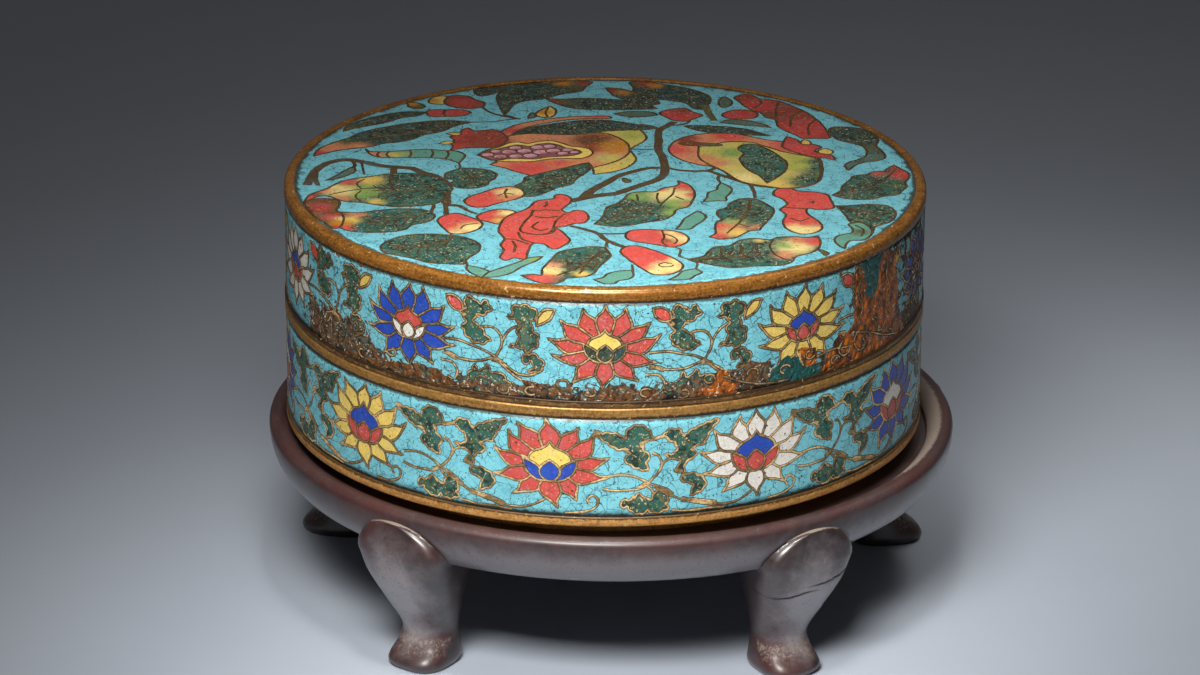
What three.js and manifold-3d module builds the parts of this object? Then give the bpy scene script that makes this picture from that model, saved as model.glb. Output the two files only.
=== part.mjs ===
// A round box of enamelled metal with a flat lift-off lid, on a turned wooden stand with five cabriole legs.
// Millimetres, +Z up. The origin is on the floor under the stand's axis, and the front faces -Y.
import * as THREE from "three";
import { mergeVertices } from "three/addons/utils/BufferGeometryUtils.js";
import Module from "manifold-3d";

const wasm = await Module();
wasm.setup();

// Heights above the floor
const lidTop = 80;
const seam = 56.9;
const boxEdge = 33.5;
const trayRim = 33.1;
const trayFloor = 29.9;
const trayUnder = 23.1;

// Metal box and lid
const boxRadius = 61;
const boxOffset = new THREE.Vector2(-1.5, 0.8); // the box stands a little off the tray's middle
const wall = 2.4;
const discThickness = 2.4;
const enamelInset = 0.25; // the enamel lies this far below the bare metal rims
const lidTopRim = 2.6;
const lidLip = 1.4;
const boxTopRim = 2.1;
const boxBottomRim = 2.0;
const topRimWidth = 1.8;
const topRimRound = 1.2;
const edgeRound = 0.5;
const innerRound = 2.0;
const lipRise = 3.2; // the inner lip stands this far up into the lid
const lipLap = 4.0;
const lipThickness = 1.2;
const lipClearance = 0.4;
const footOuter = 54;
const footInner = 50.5;

// Wooden tray
const trayRadius = 65.8;
const trayBellyHeight = 31.6; // where the bowl is widest
const trayUnderRadius = 60;
const rimCrestRadius = 64;
const rimInnerRadius = 62.7;
const rimInnerDrop = 0.3;
const bevelFoot = { radius: 61, height: 31.2 };
const recessRadius = 60.6;

// Legs: back and front are measured from the stand's axis. The foot's stations stand close, and the
// shank above them is smoothed.
const legNames = ["leg_front_left", "leg_front_right", "leg_right", "leg_back", "leg_left"];
const footStations = 4;
const standTurn = THREE.MathUtils.degToRad(-1.2);
const legStations = [
  { z: 0, back: 50.1, front: 62.8, half: 5.7 },
  { z: 1.2, back: 49.6, front: 63.6, half: 6.4 },
  { z: 2.4, back: 49.7, front: 63.0, half: 6.2 },
  { z: 4.4, back: 49.9, front: 60.9, half: 5.7 },
  { z: 7.2, back: 50, front: 59.9, half: 5.5 },
  { z: 13.0, back: 50, front: 62.9, half: 7.5 },
  { z: 19.0, back: 50, front: 66.0, half: 9.6 },
  { z: 24.3, back: 50.5, front: 67.2, half: 10.8 },
];
const lobeCrest = 31;
const lobeSetback = 0.3; // the lobe's face leans back by this much at its crest
const lobeSteps = 5;
const lobeSweep = 0.93; // share of a quarter turn, so that the lobe ends in a short edge
const sectionPower = 2.6; // 2 is an ellipse, and more is squarer
const backTaper = 0.18;
const sectionSides = 16;
const fitGap = 0.3; // between a leg's lobe and the tray

const turnSides = 64;
const arcSteps = 3;

const enamel = { color: 0x4fb9cf, roughness: 0.3, metalness: 0 };
const hardwood = { color: 0x3d2a28, roughness: 0.4, metalness: 0 };

// Points along an elliptical arc in the turning plane, angles in degrees from the radial direction
function arc(radius, height, across, up, from, to, steps = arcSteps) {
  const { degToRad } = THREE.MathUtils;
  const ellipse = new THREE.EllipseCurve(
    radius, height, across, up, degToRad(from), degToRad(to), to < from,
  );
  return ellipse.getPoints(steps);
}

function point(radius, height) {
  return new THREE.Vector2(radius, height);
}

// Only the positions of a closed geometry, with shared corners merged
function closedGeometry(geometry) {
  const bare = geometry.clone();
  bare.deleteAttribute("normal");
  bare.deleteAttribute("uv");
  return mergeVertices(bare, 1e-4);
}

// A profile turned about Z. It starts and ends on the axis, with the material on its left.
function turned(profile) {
  const lathe = new THREE.LatheGeometry(profile, turnSides);
  lathe.rotateX(Math.PI / 2);
  return fromSolid(toSolid(lathe));
}

function toSolid(geometry) {
  const closed = closedGeometry(geometry);
  const corners = closed.index.array;
  const kept = [];
  for (let i = 0; i < corners.length; i += 3) {
    const [a, b, c] = corners.slice(i, i + 3);
    if (a !== b && b !== c && c !== a) kept.push(a, b, c);
  }
  const mesh = new wasm.Mesh({
    numProp: 3,
    vertProperties: new Float32Array(closed.attributes.position.array),
    triVerts: new Uint32Array(kept),
  });
  return new wasm.Manifold(mesh);
}

function fromSolid(solid) {
  const mesh = solid.getMesh();
  const geometry = new THREE.BufferGeometry();
  geometry.setAttribute("position", new THREE.BufferAttribute(mesh.vertProperties, 3));
  geometry.setIndex(new THREE.BufferAttribute(mesh.triVerts, 1));
  geometry.computeVertexNormals();
  return geometry;
}

// Lid: a flat disc with a turned-down wall, rims standing a hair above the enamel
function lidGeometry() {
  const inside = boxRadius - wall;
  const field = boxRadius - enamelInset;
  const ceiling = lidTop - discThickness;
  return turned([
    point(0, ceiling),
    ...arc(inside - innerRound, ceiling - innerRound, innerRound, innerRound, 90, 0),
    point(inside, seam),
    point(boxRadius - edgeRound, seam),
    point(boxRadius, seam + edgeRound),
    point(boxRadius, seam + lidLip),
    point(field, seam + lidLip + enamelInset),
    point(field, lidTop - lidTopRim - enamelInset),
    point(boxRadius, lidTop - lidTopRim),
    ...arc(boxRadius - topRimRound, lidTop - topRimRound, topRimRound, topRimRound, 0, 90),
    point(boxRadius - topRimWidth, lidTop),
    point(boxRadius - topRimWidth - enamelInset, lidTop - enamelInset),
    point(0, lidTop - enamelInset),
  ]);
}

// Box: floor, wall, an inner lip that locates the lid, and a low foot ring below
function boxGeometry() {
  const inside = boxRadius - wall;
  const field = boxRadius - enamelInset;
  const lipOuter = inside - lipClearance;
  const lipInner = lipOuter - lipThickness;
  const floorTop = boxEdge + discThickness;
  return turned([
    point(0, boxEdge),
    point(footInner, boxEdge),
    point(footInner, trayFloor),
    point(footOuter, trayFloor),
    point(footOuter, boxEdge),
    point(boxRadius - edgeRound, boxEdge),
    point(boxRadius, boxEdge + edgeRound),
    point(boxRadius, boxEdge + boxBottomRim),
    point(field, boxEdge + boxBottomRim + enamelInset),
    point(field, seam - boxTopRim - enamelInset),
    point(boxRadius, seam - boxTopRim),
    point(boxRadius, seam - edgeRound),
    point(boxRadius - edgeRound, seam),
    point(lipOuter, seam),
    point(lipOuter, seam + lipRise),
    point(lipInner, seam + lipRise),
    point(lipInner, seam - lipLap),
    point(inside, seam - lipLap - lipThickness),
    ...arc(inside - innerRound, floorTop + innerRound, innerRound, innerRound, 0, -90),
    point(0, floorTop),
  ]);
}

// The bowl of the tray from its underside up to the crest of its rim, moved outwards by a margin
function trayOutside(margin) {
  const belly = trayRadius - trayUnderRadius;
  const shoulder = trayRadius - rimCrestRadius;
  const drop = trayBellyHeight - trayUnder;
  const rise = trayRim - trayBellyHeight;
  return [
    ...arc(trayUnderRadius + margin, trayBellyHeight, belly, drop, -90, 0, 6),
    ...arc(rimCrestRadius + margin, trayBellyHeight, shoulder, rise, 0, 90, 4).slice(1),
  ];
}

// Tray: a shallow bowl with a bevelled recess that takes the box's foot ring
function trayGeometry() {
  return turned([
    point(0, trayUnder),
    ...trayOutside(0),
    point(rimInnerRadius, trayRim - rimInnerDrop),
    point(bevelFoot.radius, bevelFoot.height),
    point(recessRadius, trayFloor),
    point(0, trayFloor),
  ]);
}

// The station halfway between the second and third of four, on a smooth curve through them
function middleOf([before, from, to, after]) {
  const middle = { z: (from.z + to.z) / 2 };
  for (const key of ["back", "front", "half"]) {
    middle[key] = (9 * (from[key] + to[key]) - before[key] - after[key]) / 16;
  }
  return middle;
}

// Stations up the leg, with the round lobe at the top
function legSections() {
  const last = legStations.length - 1;
  const knee = legStations[last];
  const rows = [];
  legStations.forEach((station, i) => {
    rows.push(station);
    if (i < footStations || i === last) return;
    const around = [i - 1, i, i + 1, Math.min(i + 2, last)].map((k) => legStations[k]);
    rows.push(middleOf(around));
  });
  for (let i = 1; i <= lobeSteps; i += 1) {
    const turn = (i / lobeSteps) * lobeSweep * (Math.PI / 2);
    const rise = Math.sin(turn);
    rows.push({
      z: knee.z + (lobeCrest - knee.z) * rise,
      back: knee.back,
      front: knee.front - lobeSetback * rise * rise,
      half: knee.half * Math.cos(turn),
    });
  }
  return rows;
}

// One leg standing in front of the axis (towards -Y), cut to the tray above it
function legGeometry() {
  const places = [];
  const corners = [];
  const rows = legSections();
  for (const row of rows) {
    const depth = (row.front - row.back) / 2;
    for (let k = 0; k < sectionSides; k += 1) {
      const angle = ((k + 0.5) / sectionSides) * 2 * Math.PI;
      const side = Math.sign(Math.cos(angle)) * Math.abs(Math.cos(angle)) ** (2 / sectionPower);
      const out = Math.sign(Math.sin(angle)) * Math.abs(Math.sin(angle)) ** (2 / sectionPower);
      const narrowing = 1 - backTaper * (1 - out) / 2;
      places.push(row.half * side * narrowing, -(row.back + depth * (1 + out)), row.z);
    }
  }
  const ring = (level, k) => level * sectionSides + (k % sectionSides);
  for (let level = 0; level + 1 < rows.length; level += 1) {
    for (let k = 0; k < sectionSides; k += 1) {
      corners.push(ring(level, k), ring(level + 1, k), ring(level, k + 1));
      corners.push(ring(level, k + 1), ring(level + 1, k), ring(level + 1, k + 1));
    }
  }
  for (let k = 1; k + 1 < sectionSides; k += 1) {
    corners.push(ring(0, 0), ring(0, k), ring(0, k + 1));
    corners.push(ring(rows.length - 1, 0), ring(rows.length - 1, k + 1), ring(rows.length - 1, k));
  }
  const blank = new THREE.BufferGeometry();
  blank.setAttribute("position", new THREE.Float32BufferAttribute(places, 3));
  blank.setIndex(corners);
  const clearance = turned([
    point(0, trayUnder),
    ...trayOutside(fitGap),
    point(0, trayRim),
  ]);
  return fromSolid(toSolid(blank).subtract(toSolid(clearance)));
}

function piece(name, geometry, finish) {
  const mesh = new THREE.Mesh(geometry, new THREE.MeshStandardMaterial(finish));
  mesh.name = name;
  return mesh;
}

const vessel = new THREE.Group();
vessel.position.set(boxOffset.x, boxOffset.y, 0);
vessel.add(piece("lid", lidGeometry(), enamel), piece("box", boxGeometry(), enamel));

const stand = new THREE.Group();
stand.rotation.z = standTurn;
stand.add(piece("stand_tray", trayGeometry(), hardwood));
const leg = legGeometry();
legNames.forEach((name, k) => {
  const mesh = piece(name, leg.clone(), hardwood);
  mesh.rotation.z = ((k - 0.5) / legNames.length) * 2 * Math.PI;
  stand.add(mesh);
});

const object = new THREE.Group();
object.add(vessel, stand);

export default object;
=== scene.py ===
import math

import bmesh
import bpy
import numpy as np
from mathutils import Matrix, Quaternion, Vector, geometry, noise


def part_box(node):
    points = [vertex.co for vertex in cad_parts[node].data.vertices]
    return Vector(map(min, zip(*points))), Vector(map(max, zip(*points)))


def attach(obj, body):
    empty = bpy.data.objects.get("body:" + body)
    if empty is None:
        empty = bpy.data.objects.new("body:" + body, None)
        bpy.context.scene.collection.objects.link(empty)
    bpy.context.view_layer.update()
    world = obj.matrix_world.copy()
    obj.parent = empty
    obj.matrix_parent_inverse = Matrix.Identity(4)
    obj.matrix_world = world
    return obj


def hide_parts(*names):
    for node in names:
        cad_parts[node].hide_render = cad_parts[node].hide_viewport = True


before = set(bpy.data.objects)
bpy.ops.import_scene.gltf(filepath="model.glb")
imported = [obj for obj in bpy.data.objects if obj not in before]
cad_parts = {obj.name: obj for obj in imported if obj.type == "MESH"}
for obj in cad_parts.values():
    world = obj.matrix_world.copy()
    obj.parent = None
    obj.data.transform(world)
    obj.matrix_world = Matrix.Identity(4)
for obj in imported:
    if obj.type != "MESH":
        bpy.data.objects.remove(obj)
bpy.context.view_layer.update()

mm = 0.001  # drawings, profiles and sizes below are in millimetres
noise.seed_set(11)  # without a seed, noise vectors change from run to run


def span(node):
    low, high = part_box(node)
    return np.array(low) / mm, np.array(high) / mm


lidLow, lidHigh = span("lid")
boxLow = span("box")[0]
trayLow, trayHigh = span("stand_tray")
boxAxis = (lidLow[:2] + lidHigh[:2]) / 2
boxRadius = (lidHigh[0] - lidLow[0]) / 2
lidTop, seam = lidHigh[2], lidLow[2]
trayRadius = (trayHigh[0] - trayLow[0]) / 2
trayRim, trayUnder = trayHigh[2], trayLow[2]
print("frame: lid radius", round(boxRadius, 2), "lid top", round(lidTop, 2), "seam", round(seam, 2))


# Shader maths as Python expressions
def mathNode(operation, flip=False):
    def run(self, other):
        pair = (other, self) if flip else (self, other)
        return self.finish.node("Math", {"operation": operation}, dict(enumerate(pair)))
    return run


class Sock:
    def __init__(self, finish, out):
        self.finish, self.out = finish, out

    __add__, __radd__ = mathNode("ADD"), mathNode("ADD", True)
    __sub__, __rsub__ = mathNode("SUBTRACT"), mathNode("SUBTRACT", True)
    __mul__, __rmul__ = mathNode("MULTIPLY"), mathNode("MULTIPLY", True)
    __truediv__, __rtruediv__ = mathNode("DIVIDE"), mathNode("DIVIDE", True)
    __gt__, __lt__ = mathNode("GREATER_THAN"), mathNode("LESS_THAN")

    def also(self, name):  # another output of the same node
        return Sock(self.finish, self.out.node.outputs[name])

    def rise(self, low, high):  # 0 below low, 1 above high, smooth between
        steps = {"Value": self, "From Min": low, "From Max": high}
        return self.finish.node("MapRange", {"interpolation_type": "SMOOTHSTEP"}, steps)


class Finish:
    def __init__(self, name, **constants):
        self.material = bpy.data.materials.new(name)
        self.material.use_nodes = True
        self.tree = self.material.node_tree
        self.shader = self.tree.nodes["Principled BSDF"]
        for key, value in constants.items():
            self.feed(self.shader.inputs[key.replace("_", " ")], value)

    def feed(self, socket, value):
        if isinstance(value, Sock):
            self.tree.links.new(value.out, socket)
        elif socket.type == "RGBA":
            socket.default_value = (*value[:3], 1)
        else:
            socket.default_value = value

    def node(self, kind, settings=None, sockets=None, out=0):
        made = self.tree.nodes.new("ShaderNode" + kind)
        for key, value in (settings or {}).items():
            setattr(made, key, value)
        for key, value in (sockets or {}).items():
            self.feed(made.inputs[key], value)
        return Sock(self, made.outputs[out])

    def place(self):
        return self.node("TexCoord", out="Object")

    def field(self, name, out="Fac"):  # what the mesh carries under that name
        return self.node("Attribute", {"attribute_name": name}, out=out)

    def noise(self, place, size, detail=3, rough=0.55):  # size in millimetres
        sockets = {"Vector": place, "Scale": 1 / (size * mm), "Detail": detail, "Roughness": rough}
        return self.node("TexNoise", None, sockets)

    def cells(self, place, size, feature="F1"):
        return self.node("TexVoronoi", {"feature": feature}, {"Vector": place, "Scale": 1 / (size * mm)})

    def mix(self, share, below, above):
        return self.node("Mix", {"data_type": "RGBA"}, {0: share, 6: below, 7: above}, 2)

    def scaled(self, colour, factor):
        return self.node("VectorMath", {"operation": "SCALE"}, {0: colour, "Scale": factor})

    def stretched(self, place, shares):  # a place whose texture is drawn out where the share is small
        return self.node("VectorMath", {"operation": "MULTIPLY"}, {0: place, 1: shares})

    def warped(self, place, size, reach):  # a place pushed about by noise, reach in millimetres
        push = self.scaled(self.noise(place, size, 2).also("Color"), reach * mm)
        return self.node("VectorMath", {"operation": "ADD"}, {0: place, 1: push})

    def finishWith(self, height=None, depth=0.05, strength=0.5, **channels):
        for key, value in channels.items():
            self.feed(self.shader.inputs[key.replace("_", " ")], value)
        if height is not None:
            bump = self.node("Bump", None, {"Height": height, "Distance": depth * mm, "Strength": strength})
            self.feed(self.shader.inputs["Normal"], bump)
        return self.material


def tone(code):  # an sRGB colour code as linear red, green and blue
    values = np.array([int(code[i:i + 2], 16) for i in (0, 2, 4)]) / 255
    return np.where(values <= 0.04045, values / 12.92, ((values + 0.055) / 1.055) ** 2.4)


# Enamel colours, and how strongly each is flecked
enamelTones = {
    "turquoise": ("74bcca", 0.0),
    "green": ("28574a", 1.0),
    "darkGreen": ("2a3d33", 0.85),
    "mossGreen": ("4d5e33", 0.8),
    "paleGreen": ("5c9482", 0.35),
    "leafGreen": ("7c9a4e", 0.5),
    "greyGreen": ("4d6355", 0.5),
    "yellowGreen": ("a8ab4d", 0.4),
    "yellow": ("dfc263", 0.35),
    "cream": ("e2cd86", 0.45),
    "straw": ("d2b45a", 0.35),
    "husk": ("c3b25a", 0.4),
    "peach": ("c97f56", 0.6),
    "coral": ("cb4a42", 0.55),
    "salmon": ("be4a43", 0.5),
    "red": ("b43833", 0.55),
    "brick": ("8a3523", 0.55),
    "umber": ("6a3a12", 0.55),
    "amber": ("bd7a14", 0.5),
    "rose": ("8e4a55", 0.1),
    "pink": ("cd95a0", 0.1),
    "bark": ("4e3b22", 0.3),
    "cobalt": ("2444a8", 0.15),
    "white": ("d9d5ce", 0.1),
    "olive": ("54502a", 0.4),
    "rust": ("8e4c17", 0.9),
    "earth": ("6b4423", 0.75),
    "teal": ("14524f", 0.3),
    "ash": ("7d776c", 0.8),
}
palette = {name: np.append(tone(code), fleck) for name, (code, fleck) in enamelTones.items()}


# Flat drawing kit
def through(points, corners=None, closed=True, step=0.6):
    # a smooth line through given points, which may turn sharply at the corners
    points = np.array(points, float)
    count = len(points)
    corners = corners or [False] * count
    line = []
    for i in range(count if closed else count - 1):
        j = (i + 1) % count
        a, b = points[i], points[j]
        reach = np.linalg.norm(b - a)
        slopeA, slopeB = b - a, b - a
        if not corners[i] and (closed or i > 0):
            before = points[i - 1]
            slopeA = (b - before) * reach / (reach + np.linalg.norm(a - before))
        if not corners[j] and (closed or j + 1 < count):
            after = points[(j + 1) % count]
            slopeB = (after - a) * reach / (reach + np.linalg.norm(after - b))
        t = np.arange(max(2, math.ceil(reach / step)))[:, None]
        t = t / len(t)
        line.append(a + t * slopeA + t ** 2 * (3 * (b - a) - 2 * slopeA - slopeB)
                    + t ** 3 * (slopeA + slopeB - 2 * (b - a)))
    if not closed:
        line.append(points[-1:])
    return np.concatenate(line)


def shape(*points, closed=True, step=0.6, at=(0, 0)):  # a third number in a point marks a corner
    corners = [len(p) > 2 for p in points]
    return through([p[:2] for p in points], corners, closed, step) + np.array(at, float)


def leftOf(ahead):  # unit steps to the left of each direction
    left = np.stack([-ahead[:, 1], ahead[:, 0]], 1)
    return left / np.maximum(np.linalg.norm(ahead, axis=1), 1e-6)[:, None]


def ribbon(path, width):  # the outline of a line of that width, or of two widths from start to end
    side = leftOf(np.gradient(path, axis=0))
    ends = np.broadcast_to(width, 2) / 2
    half = np.linspace(ends[0], ends[1], len(path))[:, None]
    return np.concatenate([path - side * half, (path + side * half)[::-1]])


def turnedLeft(loop):  # the loop in anticlockwise order
    ahead = np.roll(loop, -1, 0)
    area = np.sum(loop[:, 0] * ahead[:, 1] - ahead[:, 0] * loop[:, 1])
    return loop if area > 0 else loop[::-1]


def inside(loop, points):
    found = np.zeros(len(points), bool)
    near = np.all((points >= loop.min(0)) & (points <= loop.max(0)), axis=1)
    if not near.any():
        return found
    x, y = points[near].T
    turns = np.zeros(len(x), int)
    for (x0, y0), (x1, y1) in zip(loop, np.roll(loop, -1, 0)):
        left = (x1 - x0) * (y - y0) - (x - x0) * (y1 - y0)
        turns += (y0 <= y) & (y1 > y) & (left > 0)
        turns -= (y0 > y) & (y1 <= y) & (left < 0)
    found[near] = turns != 0
    return found


def unsteady(line, amount=0.07, wave=1.3):  # the small wander of a wire bent by hand
    moved = [noise.noise_vector((x / wave, y / wave, 7.3)) for x, y in line]
    return line + amount * np.array(moved)[:, :2]


def wash(base, *spots):  # a colour with soft spots (x, y, reach, colour) in it
    def at(points):
        colour = np.tile(palette[base], (len(points), 1))
        for x, y, reach, name in spots:
            far = np.hypot(points[:, 0] - x, points[:, 1] - y) / reach
            share = np.clip(1.5 - 1.5 * far, 0, 1)
            share = (share * share * (3 - 2 * share))[:, None]
            colour += share * (palette[name] - colour)
        return colour
    return at


def scalloped(loop, depth, wave):  # small lobes along an outline that runs anticlockwise
    left = leftOf(np.roll(loop, -1, 0) - np.roll(loop, 1, 0))
    run = np.cumsum(np.linalg.norm(loop - np.roll(loop, 1, 0), axis=1))
    lobes = max(1, round(run[-1] / wave))
    return loop - left * (depth * (np.abs(np.sin(math.pi * lobes * run / run[-1])) - 0.35))[:, None]


def rounds(count):  # angles evenly round a circle
    return np.linspace(0, 2 * math.pi, count, endpoint=False)


class Drawing:
    # cells and wires on a flat field, each laid over the ones before it
    def __init__(self, wire, dirt):
        self.wire, self.dirt, self.items = wire, dirt, []

    def cell(self, loop, fill, wire=None, kind=1, wander=0.07, lobes=None):
        loop = turnedLeft(unsteady(loop, wander))
        if lobes:
            loop = scalloped(loop, *lobes)
        fill = wash(fill) if isinstance(fill, str) else fill
        wire = self.wire if wire is None else wire
        path = np.append(loop, loop[:1], 0)
        self.items.append({"loop": loop, "fill": fill, "kind": kind, "path": path, "wire": wire})

    def branch(self, width, *points, fill="bark"):
        line = shape(*points, closed=False)
        self.cell(ribbon(line, width), fill, wire=0, wander=0.12)

    def line(self, *points, wire=None, at=(0, 0), kept=False):  # a kept wire stays where others are lost
        path = unsteady(shape(*points, closed=False, at=at))
        self.items.append({"path": path, "wire": self.wire if wire is None else wire, "kept": kept})

    def lines(self, *paths, wire=None):
        for path in paths:
            self.line(*path, wire=wire)

    def veins(self, base, tip, bow, pairs, reach, wire):  # a bowed midrib with side veins
        base, tip = np.array(base, float), np.array(tip, float)
        run = tip - base
        left = np.array([-run[1], run[0]]) / np.linalg.norm(run)
        self.line(base, (base + tip) / 2 + bow * left, tip, wire=wire)
        run = run / np.linalg.norm(run)
        for k in range(1, pairs + 1):
            t = k / (pairs + 1.5)
            start = base + t * (tip - base) + 4 * t * (1 - t) * bow * left
            length = reach * (0.45 + 0.55 * math.sin(math.pi * t))
            for flip in (-1, 1):
                away = run * 0.55 + left * flip * 0.8
                bent = start + away * length * 0.5 + run * 0.1 * length
                self.line(start, bent, start + away * length, wire=wire)


def netOf(drawing, border, extra):
    # triangles that follow every cell's outline, with the cell that lies uppermost in each
    spots, edges = [], []
    loops = [item["loop"] for item in drawing.items if "loop" in item]
    for loop in [border, *loops]:
        first = len(spots)
        spots += [Vector(p) for p in loop]
        edges += [(first + k, first + (k + 1) % len(loop)) for k in range(len(loop))]
    spots += [Vector(p) for p in extra]
    made = geometry.delaunay_2d_cdt(spots, edges, [], 0, 1e-4, False)
    flat = np.array([tuple(v) for v in made[0]])
    corners = np.array([f for f in made[2] if len(f) == 3])
    middle = flat[corners].mean(1)
    kept = inside(border, middle)
    corners, middle = corners[kept], middle[kept]
    upper = np.full(len(corners), -1)
    for k, item in enumerate(drawing.items):
        if "loop" in item:
            upper[inside(item["loop"], middle)] = k
    return flat, corners, upper


def newObject(name, places, faces, finishes, smooth=True):
    mesh = bpy.data.meshes.new(name)
    mesh.from_pydata((np.array(places) * mm).tolist(), [], faces)
    mesh.polygons.foreach_set("use_smooth", [smooth] * len(mesh.polygons))
    for finish in finishes:
        mesh.materials.append(finish)
    made = bpy.data.objects.new(name, mesh)
    bpy.context.scene.collection.objects.link(made)
    return made


def settle(made, node):
    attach(made, "root")
    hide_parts(node)


skinForm = {"swell": 0.008, "swellWave": 2.1, "lossDepth": 0.12, "soilWidth": 1.3, "weld": 0.002}


def enamelPiece(name, drawing, border, extra, place, back, finishes, margin, ring=False, loss=None):
    # the enamel of one field: its skin follows the cells, and a closed back lies in the metal
    flat, corners, upper = netOf(drawing, border, extra)
    used, corners = np.unique(corners, return_inverse=True)
    flat, corners = flat[used], corners.reshape(-1, 3)
    lost = loss(flat) if loss else np.zeros(len(flat))
    swell = np.array([noise.noise(Vector(spot) / skinForm["swellWave"]) for spot in place(flat, 0)])
    lift = skinForm["swell"] * swell - skinForm["lossDepth"] * lost
    made = newObject(name, place(flat, lift), corners.tolist(), finishes)
    colour = np.tile(palette["turquoise"], (len(corners) * 3, 1))
    kinds = np.zeros(len(corners), np.int32)
    for k in np.unique(upper[upper >= 0]):
        mine = upper == k
        colour[np.repeat(mine, 3)] = drawing.items[k]["fill"](flat[corners[mine]].reshape(-1, 2))
        kinds[mine] = drawing.items[k]["kind"]
    mesh = made.data
    mesh.polygons.foreach_set("material_index", kinds)
    mesh.color_attributes.new("cell", "FLOAT_COLOR", "CORNER").data.foreach_set("color", colour.ravel())
    mesh.attributes.new("loss", "FLOAT", "POINT").data.foreach_set("value", lost)
    near = np.clip(1 - margin(flat) / skinForm["soilWidth"], 0, 1)
    mesh.attributes.new("near", "FLOAT", "POINT").data.foreach_set("value", near)
    build = bmesh.new()
    build.from_mesh(mesh)
    rim = dict.fromkeys(v for e in build.edges if e.is_boundary for v in e.verts)
    bmesh.ops.remove_doubles(build, verts=list(rim), dist=skinForm["weld"] * mm)
    rim = [e for e in build.edges if e.is_boundary]
    grown = bmesh.ops.extrude_edge_only(build, edges=rim)["geom"]
    for v in grown:
        if isinstance(v, bmesh.types.BMVert):
            v.co = back(v.co)
    lower = [e for e in grown if isinstance(e, bmesh.types.BMEdge) and e.is_boundary]
    if ring:
        bmesh.ops.bridge_loops(build, edges=lower)
    else:
        bmesh.ops.contextual_create(build, geom=lower)
    bmesh.ops.recalc_face_normals(build, faces=build.faces)
    build.to_mesh(mesh)
    build.free()
    print(name, len(mesh.polygons), "faces")
    return made


wireForm = {"height": 0.07, "shoulder": 0.03, "dirtLift": 0.012, "root": -0.05, "crown": 0.45,
            "unevenness": 0.55, "wave": 1.4}


def shownAlong(drawing, k, gone):
    # which stretches of a wire no later cell covers
    item = drawing.items[k]
    middle = (item["path"][1:] + item["path"][:-1]) / 2
    shown = np.ones(len(middle), bool)
    for later in drawing.items[k + 1:]:
        if "loop" in later:
            shown &= ~inside(later["loop"], middle)
    if gone is not None and not item.get("kept"):
        shown &= ~gone(middle)
    return shown


def ridge(path, ahead, width, dirt, place):
    # rows of points across a wire: dirt, the round wire, dirt again and the root below
    w = wireForm
    side = leftOf(ahead)
    swell = [1 + w["unevenness"] * noise.noise((x / w["wave"], y / w["wave"], 3.1)) for x, y in path]
    half = width / 2 * np.array(swell)
    form = [(-1, dirt, w["dirtLift"]), (-1, 0, w["shoulder"]), (-w["crown"], 0, w["height"]),
            (w["crown"], 0, w["height"]), (1, 0, w["shoulder"]), (1, dirt, w["dirtLift"]),
            (1, dirt, w["root"]), (-1, dirt, w["root"])]
    rows = []
    for across, more, lift in form:
        shift = across * half + math.copysign(more, across)
        rows.append(place(path + side * shift[:, None], lift))
    return np.stack(rows, 1)


def wirePiece(name, drawing, place, finishes, gone=None):
    # every wire that no later cell covers, each a low round ridge with dirt along both sides
    places, faces, kinds = [], [], []
    for k, item in enumerate(drawing.items):
        if not item["wire"]:
            continue
        shown = shownAlong(drawing, k, gone)
        if not shown.any():
            continue
        path, looped = item["path"], "loop" in item
        whole = looped and shown.all()
        if looped and not whole:  # start where the wire is hidden
            first = int(np.argmin(shown))
            shown = np.roll(shown, -first)
            path = np.roll(path[:-1], -first, 0)
            path = np.append(path, path[:1], 0)
        ahead = np.gradient(path, axis=0)
        if looped:
            ahead[0] = ahead[-1] = path[1] - path[-2]
        dirt = drawing.dirt * min(1, item["wire"] / drawing.wire)
        rows = ridge(path, ahead, item["wire"], dirt, place)
        around = rows.shape[1]
        for run in np.split(np.arange(len(shown)), np.where(np.diff(shown))[0] + 1):
            if not shown[run[0]]:
                continue
            picks = run if whole else np.append(run, run[-1] + 1)
            first = len(places)
            places.extend(rows[picks].reshape(-1, 3))
            for i in range(len(run)):
                near = first + i * around
                far = first + (i + 1) % len(picks) * around
                for c in range(around):
                    d = (c + 1) % around
                    faces.append((near + c, far + c, far + d, near + d))
                    kinds.append(0 if 1 <= c <= 3 else 1)
            if not whole:
                last = first + len(run) * around
                faces.append([first + c for c in range(around)])
                faces.append([last + c for c in reversed(range(around))])
                kinds += [1, 1]
    made = newObject(name, places, faces, finishes)
    made.data.polygons.foreach_set("material_index", np.array(kinds, np.int32))
    made.data.set_sharp_from_angle(angle=math.radians(60))
    print(name, len(faces), "faces")
    return made


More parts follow.
